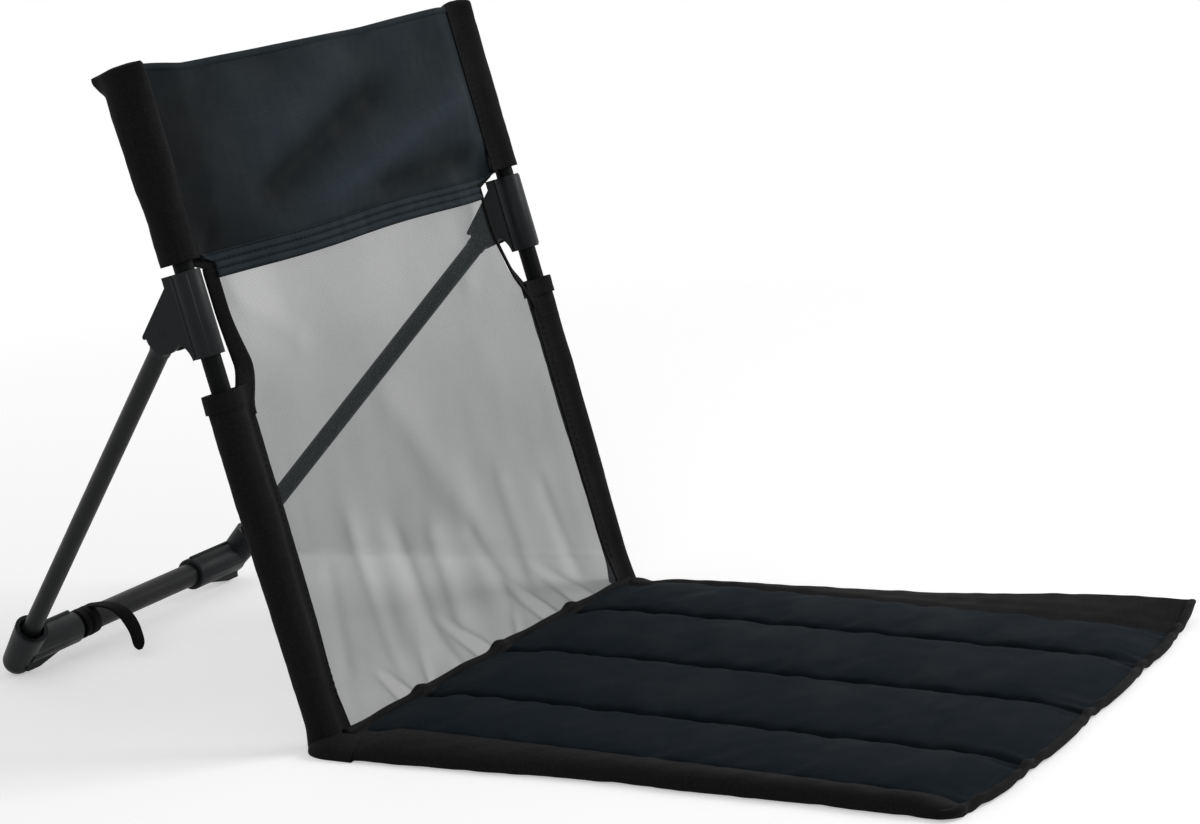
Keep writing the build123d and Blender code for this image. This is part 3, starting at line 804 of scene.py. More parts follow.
def panel_folds(x, along):
    """Soft diagonal folds of the head panel."""
    folds = crease(x, along, (-0.100, 0.348), (0.020, 0.392), -0.0036, 0.016)
    folds += crease(x, along, (-0.098, 0.320), (0.058, 0.370), 0.0066, 0.011)
    folds += crease(x, along, (-0.054, 0.306), (0.147, 0.352), -0.0066, 0.011)
    folds += crease(x, along, (0.022, 0.307), (0.138, 0.312), 0.0056, 0.009)
    folds += crease(x, along, (-0.130, 0.408), (-0.020, 0.396), 0.0014, 0.010)
    return folds + 0.0007 * ripple(x, along, 0.055, 4) + 0.00012 * ripple(x, along, 0.014, 5)


def panel_painted_shading(x, along):
    """Painted light of the head panel: a painted highlight on its forward fold ridges, and painted shade in
    the folds' valleys, beside its left seam and at its lower left corner.
    """
    ridge = np.clip(panel_folds(x, along) / -0.0064, -0.8, 1.0)
    corner = (1 - ease(x, -0.160, -0.060)) * (1 - ease(along, 0.300, 0.350))
    shaded = 1 - ease(x, -PANEL_X + 0.012, -PANEL_X + 0.090)
    # Painted highlight on the ridges; painted shade beside the left seam and at the lower left corner
    return 0.75 * ridge - 0.62 * shaded - 0.20 * corner


def panel_depth(x, along):
    """How far the head panel stands behind the poles."""
    folds = panel_folds(x, along)
    left = ease(x, -PANEL_X, -PANEL_X + 0.030)
    right = ease(-x, -PANEL_RIGHT, -PANEL_RIGHT + 0.024)
    return -0.0020 + left * right * (folds - 0.0052) + hem_bend(x, along)


def head_panel_grid():
    """Points and painted light and shade of the head panel, from its left to its right edge and from hem to
    top.
    """
    across = np.linspace(-1, 1, 131)[:, None]
    share = np.linspace(0, 1, 57)[None, :]
    top = POLE_TOP - panel_sag(across * PANEL_X)
    along = HEM_TOP - 0.002 + (top - HEM_TOP + 0.002) * share
    x = across * np.minimum(cloth_edge(along), panel_seam(across))
    return on_back(x, panel_depth(x, along), along), panel_painted_shading(x, along)


def hem_grid():
    """Points of the head panel's hem, ridged between its rows of stitches, with a painted highlight on the
    ridges and painted shade along the rows.
    """
    along = np.linspace(HEM_FOOT, HEM_TOP + 0.001, 29)[None, :]
    x = np.linspace(-1, 1, 131)[:, None] * cloth_edge(along)
    ridge = np.abs(np.sin((along - HEM_FOOT) / (HEM_TOP - HEM_FOOT) * 3 * math.pi))
    pucker = 0.0004 * ripple(x, along * 0.3, 0.020, 8)
    behind = panel_depth(x, HEM_TOP + 0 * along) - 0.0012 - 0.0013 * ridge + pucker
    sag = 0.0008 * np.sin(x * 31 + 0.6)
    # Painted highlight on the ridges, painted shade along the rows of stitches
    return on_back(x, behind, along + sag), 0.9 * ridge - 0.45 + 0 * x


class CHAIR_OT_head_panel(bpy.types.Operator):
    """Cloth panel across the top of the back, with its hem and rolled top edge"""
    bl_idname = "chair.head_panel"
    bl_label = "Head panel"
    bl_options = {"REGISTER", "UNDO"}

    def execute(self, context):
        cloth = panel_cloth()
        grid, painted_shading = head_panel_grid()
        panel = thicken(cloth_object("head_panel", grid, cloth, painted_shading=painted_shading))
        settle(panel, "back_frame", "oxford_cloth", "head_band")
        rows, painted_shading = hem_grid()
        hem = thicken(cloth_object("head_panel_hem", rows, cloth, painted_shading=painted_shading))
        settle(hem, "back_frame", "oxford_cloth", "head_hem")
        across, up = path_frames(grid[:, -1], UPWARD)
        edge = grid[:, -1] - up * 0.0016
        roll = swept("head_panel_top_edge", edge, across, up, 0.0030, 0.0046, cloth, sides=10, square=0.9)
        settle(roll, "back_frame", "oxford_cloth")
        return {"FINISHED"}


def foot_curve(along):
    """How far the foot of the back's cloth comes forward to the fold line."""
    return -0.0040 * (1 - ease(along, 0.002, 0.040)) ** 1.3


def sleeve_grid(side, rows, reach, half_x, half_n, tip_n, seed, ear=0.0, back=0.0016):
    """Points round a pole sleeve, drawn out to the seam on its inner side and to an ear behind."""
    turn = np.linspace(0, 2 * math.pi, 60, endpoint=False)[:, None]
    rows = np.asarray(rows, float)[None, :]
    x = half_x * np.cos(turn)
    n = half_n * np.sin(turn) + back
    tip = np.exp(-((np.angle(np.exp(1j * (turn - math.pi))) - 0.12) / 0.42) ** 2)
    x = x * (1 - tip) + tip * -reach
    n = n * (1 - tip) + tip * tip_n
    rear = np.exp(-((turn - math.pi / 2) / 0.45) ** 2) * ear
    x = x * (1 - 95 * rear)
    n = n + rear
    uneven = 0.026 * ripple(turn * 0.010, rows, 0.045, seed)
    uneven = uneven + 0.012 * ripple(turn * 0.010, rows, 0.012, seed + 1)
    grow = 1 + uneven * (1 - tip * 0.7)
    return on_back(side * (POLE_X + x * grow), n * grow, rows + 0 * turn)


class CHAIR_OT_head_sleeves(bpy.types.Operator):
    """Tape pockets over the upper ends of the poles, sewn flat at the top"""
    bl_idname = "chair.head_sleeves"
    bl_label = "Head sleeves"
    bl_options = {"REGISTER", "UNDO"}

    def execute(self, context):
        cap = CAP_START + CAP_RISE * np.sin(np.linspace(0.1, 0.5, 7) * math.pi)
        rows = np.concatenate([np.linspace(SLEEVE_FOOT, 0.392, 36), np.linspace(0.394, 0.412, 12), cap])
        top = ease(rows, 0.397, 0.409)
        rise = np.maximum(rows - CAP_START, 0) / CAP_RISE
        closing = np.sqrt(np.maximum(1 - rise ** 2, 0.0004))
        half_x = 0.0105 * (1 - 0.20 * top) * closing
        ear = 0.0076 * np.clip((rows - 0.396) / 0.0155, 0, 1) ** 1.5
        for name, side in SIDES.items():
            half_n = 0.0113 + 0.0010 * top
            slack = 0.40
            if side < 0:
                half_n = half_n + 0.0028 * ease(rows, 0.315, 0.375)
                slack = 0.10
            reach = (POLE_X - panel_seam(side) + 0.001) * (1 - 0.6 * (1 - closing))
            grid = sleeve_grid(side, rows, reach, half_x, half_n, tip_n=-0.0032, seed=20 + side, ear=ear)
            droop = slack * top * np.maximum(np.abs(behind_poles(grid)) - 0.005, 0)
            grid = grid - droop[..., None] * UPWARD
            piece = thicken(cloth_object("head_sleeve_" + name, grid, edge_tape(), wrap=True))
            settle(piece, "back_frame", "tape_cloth", name + "_head_sleeve")
        return {"FINISHED"}


def above_line(x, along):
    """How far a place on the net lies above the slanting line across its foot."""
    return along - 0.070 + 0.273 * x


def net_depth(x, along):
    """How far the net stands behind the poles: flat at the top, gathered in folds at its foot."""
    folds = sum(crease(x, along, *fold) for fold in NET_FOLDS)
    fade = np.exp(-(np.maximum(along - 0.008, 0) / 0.024) ** 2)
    for foot, lean, depth, width in NET_GATHERS:
        off = (x - foot - lean * along) / (width + 0.08 * along)
        folds = folds + depth * fade * np.exp(-off ** 2)
    folds = folds + 0.0010 * np.exp(-(above_line(x, along) / 0.0024) ** 2)
    for side in SIDES.values():
        folds = folds + crease(x, along, (side * 0.150, 0.278), (side * 0.095, 0.230), 0.0016, 0.010)
    folds = folds + 0.0006 * ripple(x, along * 0.5, 0.05, 31) * (1 - ease(along, 0.05, 0.22))
    edge = ease(cloth_edge(along) - np.abs(x), 0.0, 0.018)
    bow = 0.0065 * ease(along, 0.212, 0.265) * ease(np.abs(x), 0.100, 0.150)
    return -0.0024 + foot_curve(along) + bow + edge * folds


def net_closing_and_shade(x, along, depth):
    """How much the net's folds close or open its holes, with painted shade in two soft patches, and the net
    lighter below its slanting line on the left and towards the top, darker about the middle of its height.
    """
    slope = np.gradient(depth, axis=0) / np.gradient(x, axis=0)
    lift = np.gradient(depth, axis=1) / np.gradient(along, axis=1)
    closing = np.clip(0.36 * slope - 0.06 * lift, -0.08, 0.16)
    below = ease(-above_line(x, along), -0.002, 0.003) * (1 - ease(x, -0.06, 0.14))
    closing = closing - 0.080 * below - 0.025 * ease(along, 0.20, 0.27)
    closing = closing + 0.045 * np.exp(-((along - 0.125) / 0.08) ** 2)
    # Two soft patches of painted shade, where the net's holes close: one in the middle and one on the left
    middle = ((x + 0.004) / 0.036) ** 2 + ((along - 0.047 + 0.2 * x) / 0.014) ** 2
    left = ((x + 0.088) / 0.010) ** 2 + ((along - 0.050) / 0.022) ** 2
    return closing + 0.075 * np.exp(-middle) + 0.055 * np.exp(-left)


class CHAIR_OT_back_net(bpy.types.Operator):
    """See-through net of the back, gathered into the fold line"""
    bl_idname = "chair.back_net"
    bl_label = "Back net"
    bl_options = {"REGISTER", "UNDO"}

    def execute(self, context):
        share = np.linspace(-1, 1, 191)[:, None]
        along = np.linspace(NET_FOOT, HEM_FOOT + 0.006, 181)[None, :]
        x = share * cloth_edge(along)
        depth = net_depth(x, along)
        piece = cloth_object("back_net", on_back(x, depth, along), knitted_net())
        mark(piece, "fold", net_closing_and_shade(x, along, depth))
        settle(piece, "back_frame", "mesh", "back_mesh")
        return {"FINISHED"}


class CHAIR_OT_net_bindings(bpy.types.Operator):
    """Tape round the net where it is cut away beside each hub"""
    bl_idname = "chair.net_bindings"
    bl_label = "Net bindings"
    bl_options = {"REGISTER", "UNDO"}

    def execute(self, context):
        along = CUT_FOOT - 0.002 + (CUT_TOP - CUT_FOOT + 0.002) * np.linspace(0, 1, 90)
        low = 1 - ease(along, 0.216, 0.262)
        width = 0.0095 + 0.0034 * low - 0.0040 * ease(along, 0.286, CUT_TOP)
        for name, side in SIDES.items():
            x = cloth_edge(along) + 0.0026 + 0.0017 * low
            path = on_back(side * x, net_depth(x, along) + 0.0006, along)
            across, up = path_frames(path, REARWARD * -0.87 + np.array([side * 0.49, 0, 0]))
            piece = swept("net_binding_" + name, path, across, up, width, 0.0022, edge_tape())
            settle(piece, "back_frame", "tape_cloth", name + "_mesh_binding")
        return {"FINISHED"}


class CHAIR_OT_back_sleeves(bpy.types.Operator):
    """Long tape sleeves over the lower poles, each with a turned cuff"""
    bl_idname = "chair.back_sleeves"
    bl_label = "Back sleeves"
    bl_options = {"REGISTER", "UNDO"}

    def execute(self, context):
        rows = np.linspace(0.0045, CUFF_TOP, 84)
        for name, side in SIDES.items():
            tip = -0.0034 + foot_curve(rows)
            half = 0.0089 + 0.0014 * ease(rows, 0.015, 0.170)
            reach = POLE_X - NET_X + 0.001
            turned_half = 0.0104
            if side < 0:
                reach = reach - foot_taper(rows)
                turned_half = 0.0113
            else:
                half = half - 0.0016
            grid = sleeve_grid(side, rows, reach, half, half, tip, seed=40 + side, back=0.0006)
            axis = on_back(side * POLE_X, 0.0, rows)[None]
            fuller = 1 + 0.20 * np.exp(-((rows - 0.003) / 0.009) ** 2)
            inner = ease((POLE_X - side * grid[..., :1]), 0.011, 0.016)
            grid = axis + (grid - axis) * (fuller[None, :, None] * (1 - inner) + inner)
            level = (behind_poles(grid) * math.tan(RECLINE) - 0.0036) * (1 - ease(rows, 0.0045, 0.024))
            grid = grid + level[..., None] * UPWARD
            piece = thicken(cloth_object("back_sleeve_" + name, grid, edge_tape(), wrap=True))
            settle(piece, "back_frame", "tape_cloth", name + "_back_sleeve")
            turned = np.linspace(CUFF_TOP - 0.0105, CUFF_TOP + 0.0006, 12)
            cuff = sleeve_grid(side, turned, POLE_X - NET_X + 0.0016, turned_half, turned_half,
                               tip_n=-0.0036, seed=60 + side, back=0.0006)
            band = thicken(cloth_object("back_sleeve_cuff_" + name, cuff, edge_tape(), wrap=True))
            settle(band, "back_frame", "tape_cloth")
        return {"FINISHED"}


def seam_lumps(x, width):
    """1 where the seat's inner seams end, fading out to both sides."""
    return sum(np.exp(-((x - seam) / width) ** 2) for seam in SEAMS[1:-1])


def seam_gap(x):
    """Distance across to the nearest seam of the seat."""
    return np.abs(np.asarray(x)[..., None] - SEAMS).min(axis=-1)


class CHAIR_OT_fold_seam(bpy.types.Operator):
    """Rolled seam along the fold line, lumpy where the seat's seams end"""
    bl_idname = "chair.fold_seam"
    bl_label = "Fold seam"
    bl_options = {"REGISTER", "UNDO"}

    def execute(self, context):
        x = np.linspace(-NET_X - SEAM_OVERLAP, NET_X + SEAM_OVERLAP, 180)
        lump = seam_lumps(x, 0.007)
        height = 0.0060 + 0.0014 * lump + 0.0004 * np.sin(x * 95) - 0.0026 * ease(x, 0.04, NET_X)
        path = np.stack([x, FOLD.y + 0.0024 + 0.0006 * np.sin(x * 70), height], axis=-1)
        across, up = path_frames(path, (0, 0, 1))
        size = 0.0046 + 0.0020 * lump + 0.0004 * np.sin(x * 130)
        seam = swept("fold_seam", path, across, up, size * 1.25, size * 1.45, edge_tape(), square=0.85)
        settle(seam, "back_frame", "tape_cloth", "fold_tape")
        return {"FINISHED"}


def seat_share(y):
    """Place along the seat, from 0 at its rear to 1 at its front."""
    return (SEAT_REAR - y) / (SEAT_REAR - SEAT_FRONT)


def seat_drift(y, scene):
    """Sideways drift of the seat's seams at a place along the seat."""
    return -scene.chair_seat.skew * np.clip(seat_share(y), 0, 1) ** 1.4


def seat_columns():
    """Places across the seat's cover, with a column on each seam."""
    share = np.linspace(0, 1, 21)[:-1]
    share = share - 0.75 * np.sin(2 * math.pi * share) / (2 * math.pi)
    parts = [a + (b - a) * share for a, b in zip(SEAMS, SEAMS[1:])]
    return np.concatenate(parts + [[SEAMS[-1]]])


def puffed_cover(scene):
    """Heights of the seat's cover over its seams, from a cloth simulation held along the seams."""
    x, y = np.meshgrid(seat_columns(), np.linspace(QUILT_REAR, SEAT_FRONT, 87), indexing="ij")
    gap = seam_gap(x)
    dome = 0.0030 * (1 - np.exp(-gap / 0.012))
    dome = dome + 0.0004 * ripple(x, y, 0.03, 71) * (gap > 0.002)
    grid = np.stack([x, y, dome], axis=-1)
    piece = new_object("cover_trial", grid, grid_faces(*x.shape, False)[:, ::-1], shaded_seat_cloth())
    pins = gap < 1e-6
    pins[:, 0] = pins[:, -1] = True
    group = piece.vertex_groups.new(name="held")
    group.add(np.flatnonzero(pins.ravel()).tolist(), 1.0, "REPLACE")
    cloth = piece.modifiers.new("Cloth", "CLOTH")
    cover = cloth.settings
    cover.quality = 6
    cover.mass = 0.25
    cover.tension_stiffness = cover.compression_stiffness = 20
    cover.shear_stiffness = 8
    cover.bending_stiffness = 0.25
    cover.air_damping = 2
    cover.vertex_group_mass = "held"
    cover.use_pressure = True
    cover.uniform_pressure_force = scene.chair_seat.pressure
    cover.shrink_min = cover.shrink_max = -scene.chair_seat.slack
    cover.effector_weights.gravity = 0
    cloth.collision_settings.use_collision = False
    cloth.collision_settings.use_self_collision = False
    for step in range(1, PUFF_FRAMES + 1):
        scene.frame_set(step)
    shown = piece.evaluated_get(bpy.context.evaluated_depsgraph_get()).to_mesh()
    points = np.zeros(len(shown.vertices) * 3)
    shown.vertices.foreach_get("co", points)
    mesh = piece.data
    bpy.data.objects.remove(piece)
    bpy.data.meshes.remove(mesh)
    scene.frame_set(1)
    points = points.reshape(grid.shape)
    crown = scene.chair_seat.crown
    points[..., 2] = crown * np.tanh(np.maximum(points[..., 2], -0.001) / crown)
    return points


def front_bow(x):
    """How far the seat's front edge bows out between its corners."""
    return 0.0088 * np.maximum(1 - ((x - 0.012) / 0.190) ** 4, 0)


def seam_level(x, y):
    """Height of the seat's seams and borders above the ground."""
    rear = 1 - seat_share(y)
    level = 0.0080 + 0.0012 * rear
    level = level - 0.0042 * (1 - ease(y, SEAT_FRONT, SEAT_FRONT + 0.030))
    level = level - 0.0030 * ease(x, 0.09, BORDER) * (1 - rear)
    level = level - 0.0040 * ease(y, SEAT_REAR - 0.030, SEAT_REAR)
    return level - 0.0024 * ease(x, 0.05, BORDER) * ease(y, SEAT_REAR - 0.060, SEAT_REAR)


class CHAIR_OT_seat_quilt(bpy.types.Operator):
    """Padded mat in four sewn channels, puffed by a cloth simulation"""
    bl_idname = "chair.seat_quilt"
    bl_label = "Seat quilt"
    bl_options = {"REGISTER", "UNDO"}

    def execute(self, context):
        scene = context.scene
        top = puffed_cover(scene)
        x, y = top[..., 0], top[..., 1]
        gap = seam_gap(x)
        front = 1 - ease(y, SEAT_FRONT, SEAT_FRONT + 0.05)
        rise = top[..., 2] * (1 - 0.55 * front)
        bulge = scene.chair_seat.scallop * front * (1 - np.exp(-(gap / 0.022) ** 2))
        pull = -0.0026 * np.exp(-(gap / 0.0026) ** 2) * (1 - 0.7 * front)
        pull = pull + 0.0002 * np.sin(y * 520 + x * 90) * np.exp(-(gap / 0.007) ** 2)
        pleat = 0.0011 * np.sin(x * 620) * np.exp(-(gap / 0.020) ** 2) * front ** 2
        z = seam_level(x, y) + rise + pull + pleat
        x = x + seat_drift(y, scene)
        bow = front_bow(x) * (1 - ease(y, SEAT_FRONT, SEAT_FRONT + 0.16))
        grid = np.stack([x, y - bulge - bow + 0.0012 * front, np.maximum(z, QUILT_LEAST)], axis=-1)
        under = grid.copy()
        under[..., 2] = QUILT_UNDERSIDE
        faces = grid_faces(*x.shape, False)
        index = np.arange(x.size).reshape(x.shape)
        rim = np.concatenate([index[0], index[1:, -1], index[-1, -2::-1], index[-2:0:-1, 0]])
        after = np.roll(rim, -1)
        walls = np.stack([rim, rim + x.size, after + x.size, after], axis=-1)
        faces = np.concatenate([faces[:, ::-1], faces + x.size, walls])
        lengths = np.stack([cloth_lengths(grid)] * 2)
        quilt = new_object("seat_quilt", np.stack([grid, under]), faces, shaded_seat_cloth(), lengths)
        smoothed(quilt)
        # Painted shade in the seam valleys, and the cloth a little lighter elsewhere
        painted_shading = 0.10 - 0.55 * np.exp(-(gap / 0.0034) ** 2)
        mark(quilt, "painted_shading", np.stack([painted_shading, painted_shading]))
        settle(quilt, "seat", "oxford_cloth", "seat_top_cover", "seat_base_cover",
               *("seat_foam_%d" % k for k in range(1, 5)))
        return {"FINISHED"}


def near_band(border, level, y, turn, wave):
    """Places across and heights of the left band, which rolls over the seat's edge to the ground."""
    past = np.clip(SEAT_FRONT + 0.0115 - y, 0, 0.0098)
    edge = -SEAT_EDGE + 0.0045 * (1 - ease(y, -0.170, -0.040)) - 0.0080 * ease(y, -0.090, 0.045)
    edge = edge + 0.6 * wave * (past == 0)
    edge = edge + 0.010 - np.sqrt(0.010 ** 2 - past ** 2)
    over = 0.78
    swing = np.minimum(turn / over, 1)
    angle = swing * math.pi / 2
    x = border + (edge - border) * np.sin(angle) ** 0.85
    z = 0.0012 + (level - 0.0002) * np.cos(angle) ** 0.85 + 0.0012 * np.sin(math.pi * swing)
    under = np.maximum(turn - over, 0) / (1 - over)
    return x + 0.012 * under, z - 0.0008 * ease(under, 0, 0.3)


def far_band(border, level, y, turn, wave):
    """Places across and heights of the right band, which stands up towards the front."""
    share = seat_share(y)
    edge = 0.181 + 0.021 * ease(share, 0.0, 0.95) + 0.4 * wave
    high = 0.0010 + 0.0044 * ease(share, 0.0, 0.25) + 0.0058 * ease(share, 0.5, 0.95)
    over = 0.72
    swing = np.minimum(turn / over, 1)
    x = border + (edge - border) * swing
    z = level + (high - level) * swing + 0.0022 * np.sin(math.pi * swing) * (1 - share)
    under = np.maximum(turn - over, 0) / (1 - over)
    return x - 0.020 * under, z - (z - 0.0010) * ease(under, 0.0, 0.7)


def band_grid(side, scene):
    """Points of a side band of the seat, from its border seam out over its edge and under it."""
    front = SEAT_FRONT + (0.002 if side < 0 else -0.001)
    y = np.linspace(SEAT_REAR + 0.0042, front, 120)[None, :]
    border = side * BORDER + seat_drift(y, scene)
    level = seam_level(side * BORDER, y)
    turn = np.linspace(0, 1, 23)[:, None]
    wave = 0.0012 * np.sin(y * 46 + 1.2) + 0.0006 * np.sin(y * 113)
    shape = near_band if side < 0 else far_band
    x, z = shape(border, level, y, turn, wave)
    tuck = np.exp(-(turn / 0.04) ** 2)
    x = x - side * 0.009 * tuck
    z = z + 0.0003 * ripple(x, y, 0.02, 81 + side) - 0.0024 * tuck
    return np.stack([x, y + 0 * x, np.maximum(z, GROUND_GAP)], axis=-1)


class CHAIR_OT_seat_bands(bpy.types.Operator):
    """Tape bands along both sides of the seat"""
    bl_idname = "chair.seat_bands"
    bl_label = "Seat bands"
    bl_options = {"REGISTER", "UNDO"}

    def execute(self, context):
        scene = context.scene
        for name, side in SIDES.items():
            grid = band_grid(side, scene)
            piece = cloth_object("seat_band_" + name, grid, edge_tape())
            if side > 0:
                piece.data.flip_normals()
            thicken(piece)
            settle(piece, "seat", "tape_cloth", name + "_seat_band")
        return {"FINISHED"}


class CHAIR_OT_seat_ends(bpy.types.Operator):
    """Narrow bindings along the seat's front and rear edges"""
    bl_idname = "chair.seat_ends"
    bl_label = "Seat ends"
    bl_options = {"REGISTER", "UNDO"}

    def execute(self, context):
        self.front(context.scene)
        self.rear()
        return {"FINISHED"}

    def front(self, scene):
        """Binding round the left front corner and along the scalloped front."""
        turn = np.linspace(math.pi, 1.5 * math.pi, 16)[:-1]
        start = -SEAT_EDGE + 0.0145
        corner_x = start + 0.0095 * np.cos(turn)
        corner_y = SEAT_FRONT + 0.0115 + 0.0095 * np.sin(turn)
        line = np.linspace(start, SEAT_EDGE + 0.004, 200)
        x = np.concatenate([corner_x, line])
        gap = seam_gap(x - seat_drift(SEAT_FRONT, scene))
        bulge = scene.chair_seat.scallop * (1 - np.exp(-(gap / 0.022) ** 2))
        y = SEAT_FRONT + 0.0020 - bulge - front_bow(x)
        y[:len(turn)] = corner_y
        y[len(turn):] += 0.0011 * (1 - ease(line, start, start + 0.012))
        near = np.exp(-(gap / 0.02) ** 2)
        height = 0.0040 + 0.0010 * np.sin(x * 330) * near + 0.0062 * ease(x, 0.160, 0.2)
        path = np.stack([x, y, height], axis=-1)
        across, up = path_frames(path, (0, 0, 1))
        size = (0.0056 + 0.0008 * np.sin(x * 210) * near) * (1 - 0.4 * ease(x, 0.188, 0.198))
        tape = swept("seat_front_binding_tape", path, across, up, 0.0050, size, edge_tape(), square=0.8)
        settle(tape, "seat", "tape_cloth", "seat_front_binding")

    def rear(self):
        """Binding along the rear edge, wide enough to stay behind the fold seam when the seat is up."""
        x = np.linspace(-BORDER - SEAM_OVERLAP, BORDER + SEAM_OVERLAP, 180)
        lump = seam_lumps(x, 0.008)
        low = ease(x, 0.05, BORDER)
        height = 0.0050 + 0.0011 * lump + 0.0003 * np.sin(x * 120) - 0.0024 * low
        path = np.stack([x, QUILT_REAR + 0.0013 + 0.0014 * low, height], axis=-1)
        across, up = path_frames(path, (0, 0, 1))
        width = 0.0090 + 0.0028 * low
        size = 0.0034 + 0.0016 * lump
        tape = swept("seat_rear_binding_tape", path, across, up, width, size, edge_tape(), square=0.7)
        settle(tape, "seat", "tape_cloth", "seat_rear_binding")


def corner_grid(side, cut):
    """Points round a gathered corner, which closes towards its rear and lies flat on the ground."""
    share = np.linspace(0, 1, 30)[None, :]
    turn = np.linspace(0, 2 * math.pi, 32, endpoint=False)[:, None]
    step = ease(share, 0.0, 0.55)
    closing = np.sqrt(1 - np.clip((share - 0.45) / 0.553, 0, 1) ** 2)
    front, rear = cut["half"]
    half = (front + (rear - front) * step) * closing
    front, rear = cut["middle"]
    middle = front + (rear - front) * step
    high = (cut["height"] + cut["rise"] * step) * closing
    x = middle + half * np.sign(np.cos(turn)) * np.abs(np.cos(turn)) ** 0.8
    z = GROUND_GAP + high * np.maximum(np.sin(turn), 0) ** 0.7
    return np.stack([side * x, CORNER_START + cut["run"] * share + 0 * x, z], axis=-1)


class CHAIR_OT_corners(bpy.types.Operator):
    """Gathered cloth where each sleeve's foot runs into the seat's band"""
    bl_idname = "chair.corners"
    bl_label = "Seat corners"
    bl_options = {"REGISTER", "UNDO"}

    def execute(self, context):
        for name, side in SIDES.items():
            cut = CORNERS[name]
            piece = cloth_object("seat_corner_" + name, corner_grid(side, cut), edge_tape(), wrap=True)
            if side < 0:
                piece.data.flip_normals()
            thicken(piece)
            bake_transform(piece)
        return {"FINISHED"}


class CHAIR_OT_stitching(bpy.types.Operator):
    """Rows of visible stitches on the hem and the sleeves"""
    bl_idname = "chair.stitching"
    bl_label = "Stitching"
    bl_options = {"REGISTER", "UNDO"}

    def execute(self, context):
        settings = context.scene.chair_cloth
        back = Stitches(settings.stitch)
        hem, _ = hem_grid()
        normal = surface_normals(hem)
        normal = normal * -np.sign(normal[0, 0] @ REARWARD)
        for column in HEM_ROWS:
            facing = along_column(normal, column)
            back.row(along_column(hem, column) + facing * settings.cloth / 2, facing)
        for side in SIDES.values():
            along = np.linspace(SLEEVE_FOOT + 0.003, POLE_TOP - 0.022, 60)
            facing = np.tile(np.array([-side * 0.35, 0, 0]) - REARWARD, (len(along), 1))
            back.row(on_back(side * (panel_seam(side) + 0.0026), -0.0056, along), facing)
            along = np.linspace(0.020, CUFF_TOP - 0.012, 90)
            facing = np.tile(np.array([-side * 0.3, 0, 0]) - REARWARD, (len(along), 1))
            back.row(on_back(side * (NET_X + 0.0036), -0.0052, along), facing)
        piece = new_object("back_stitching", back.points, back.faces, sewing_thread())
        settle(piece, "back_frame", "oxford_cloth")
        return {"FINISHED"}


def smooth_route(points):
    """Places along one smooth curve that a few points draw."""
    curve = bpy.data.curves.new("strap_route", "CURVE")
    curve.dimensions = "3D"
    spline = curve.splines.new("NURBS")
    spline.points.add(len(points) - 1)
    for point, spot in zip(spline.points, points):
        point.co = (*spot, 1)
    spline.order_u = 3
    spline.use_endpoint_u = True
    curve.resolution_u = 8
    route = bpy.data.objects.new("strap_route", curve)
    mesh = bpy.data.meshes.new_from_object(route)
    line = np.array([v.co for v in mesh.vertices])
    bpy.data.objects.remove(route)
    return line


class CHAIR_OT_strap(bpy.types.Operator):
    """Storage strap round the cross bar, with its tail on the ground"""
    bl_idname = "chair.strap"
    bl_label = "Storage strap"
    bl_options = {"REGISTER", "UNDO"}

    def execute(self, context):
        low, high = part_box("rear_cross_bar")
        y, z = (low.y + high.y) / 2, (low.z + high.z) / 2
        ring = (high.z - low.z) / 2 + 0.0012
        first, last = STRAP_TURNS
        turns = np.linspace(first, last, 80)
        x = STRAP_X + STRAP_SPREAD * (turns - first) / (last - first)
        angle = turns * 2 * math.pi
        wrap = np.stack([x, y + ring * np.cos(angle), z + ring * np.sin(angle)], axis=-1)
        line = smooth_route([wrap[-1] + np.array(step) for step in STRAP_TAIL])
        path = np.concatenate([wrap, line[1:]])
        tangent = np.gradient(path, axis=0)
        twist = ease(np.arange(len(path)), len(wrap) - 2, len(path) - 8)[:, None]
        side = np.array([1.0, 0.12, 0.0]) * (1 - twist) + np.array([0.50, -0.60, 0.45]) * twist
        up = unit(np.cross(side, tangent))
        across = unit(np.cross(tangent, up))
        width = STRAP_WIDTH - 0.0020 * twist[:, 0]
        width[-5:] *= (0.98, 0.94, 0.85, 0.66, 0.35)
        strap = swept("storage_strap_webbing", path, across, up, width, STRAP_THICKNESS,
                      strap_webbing(), sides=10, square=0.45)
        settle(strap, "rear_support", "strap", "storage_strap")
        return {"FINISHED"}


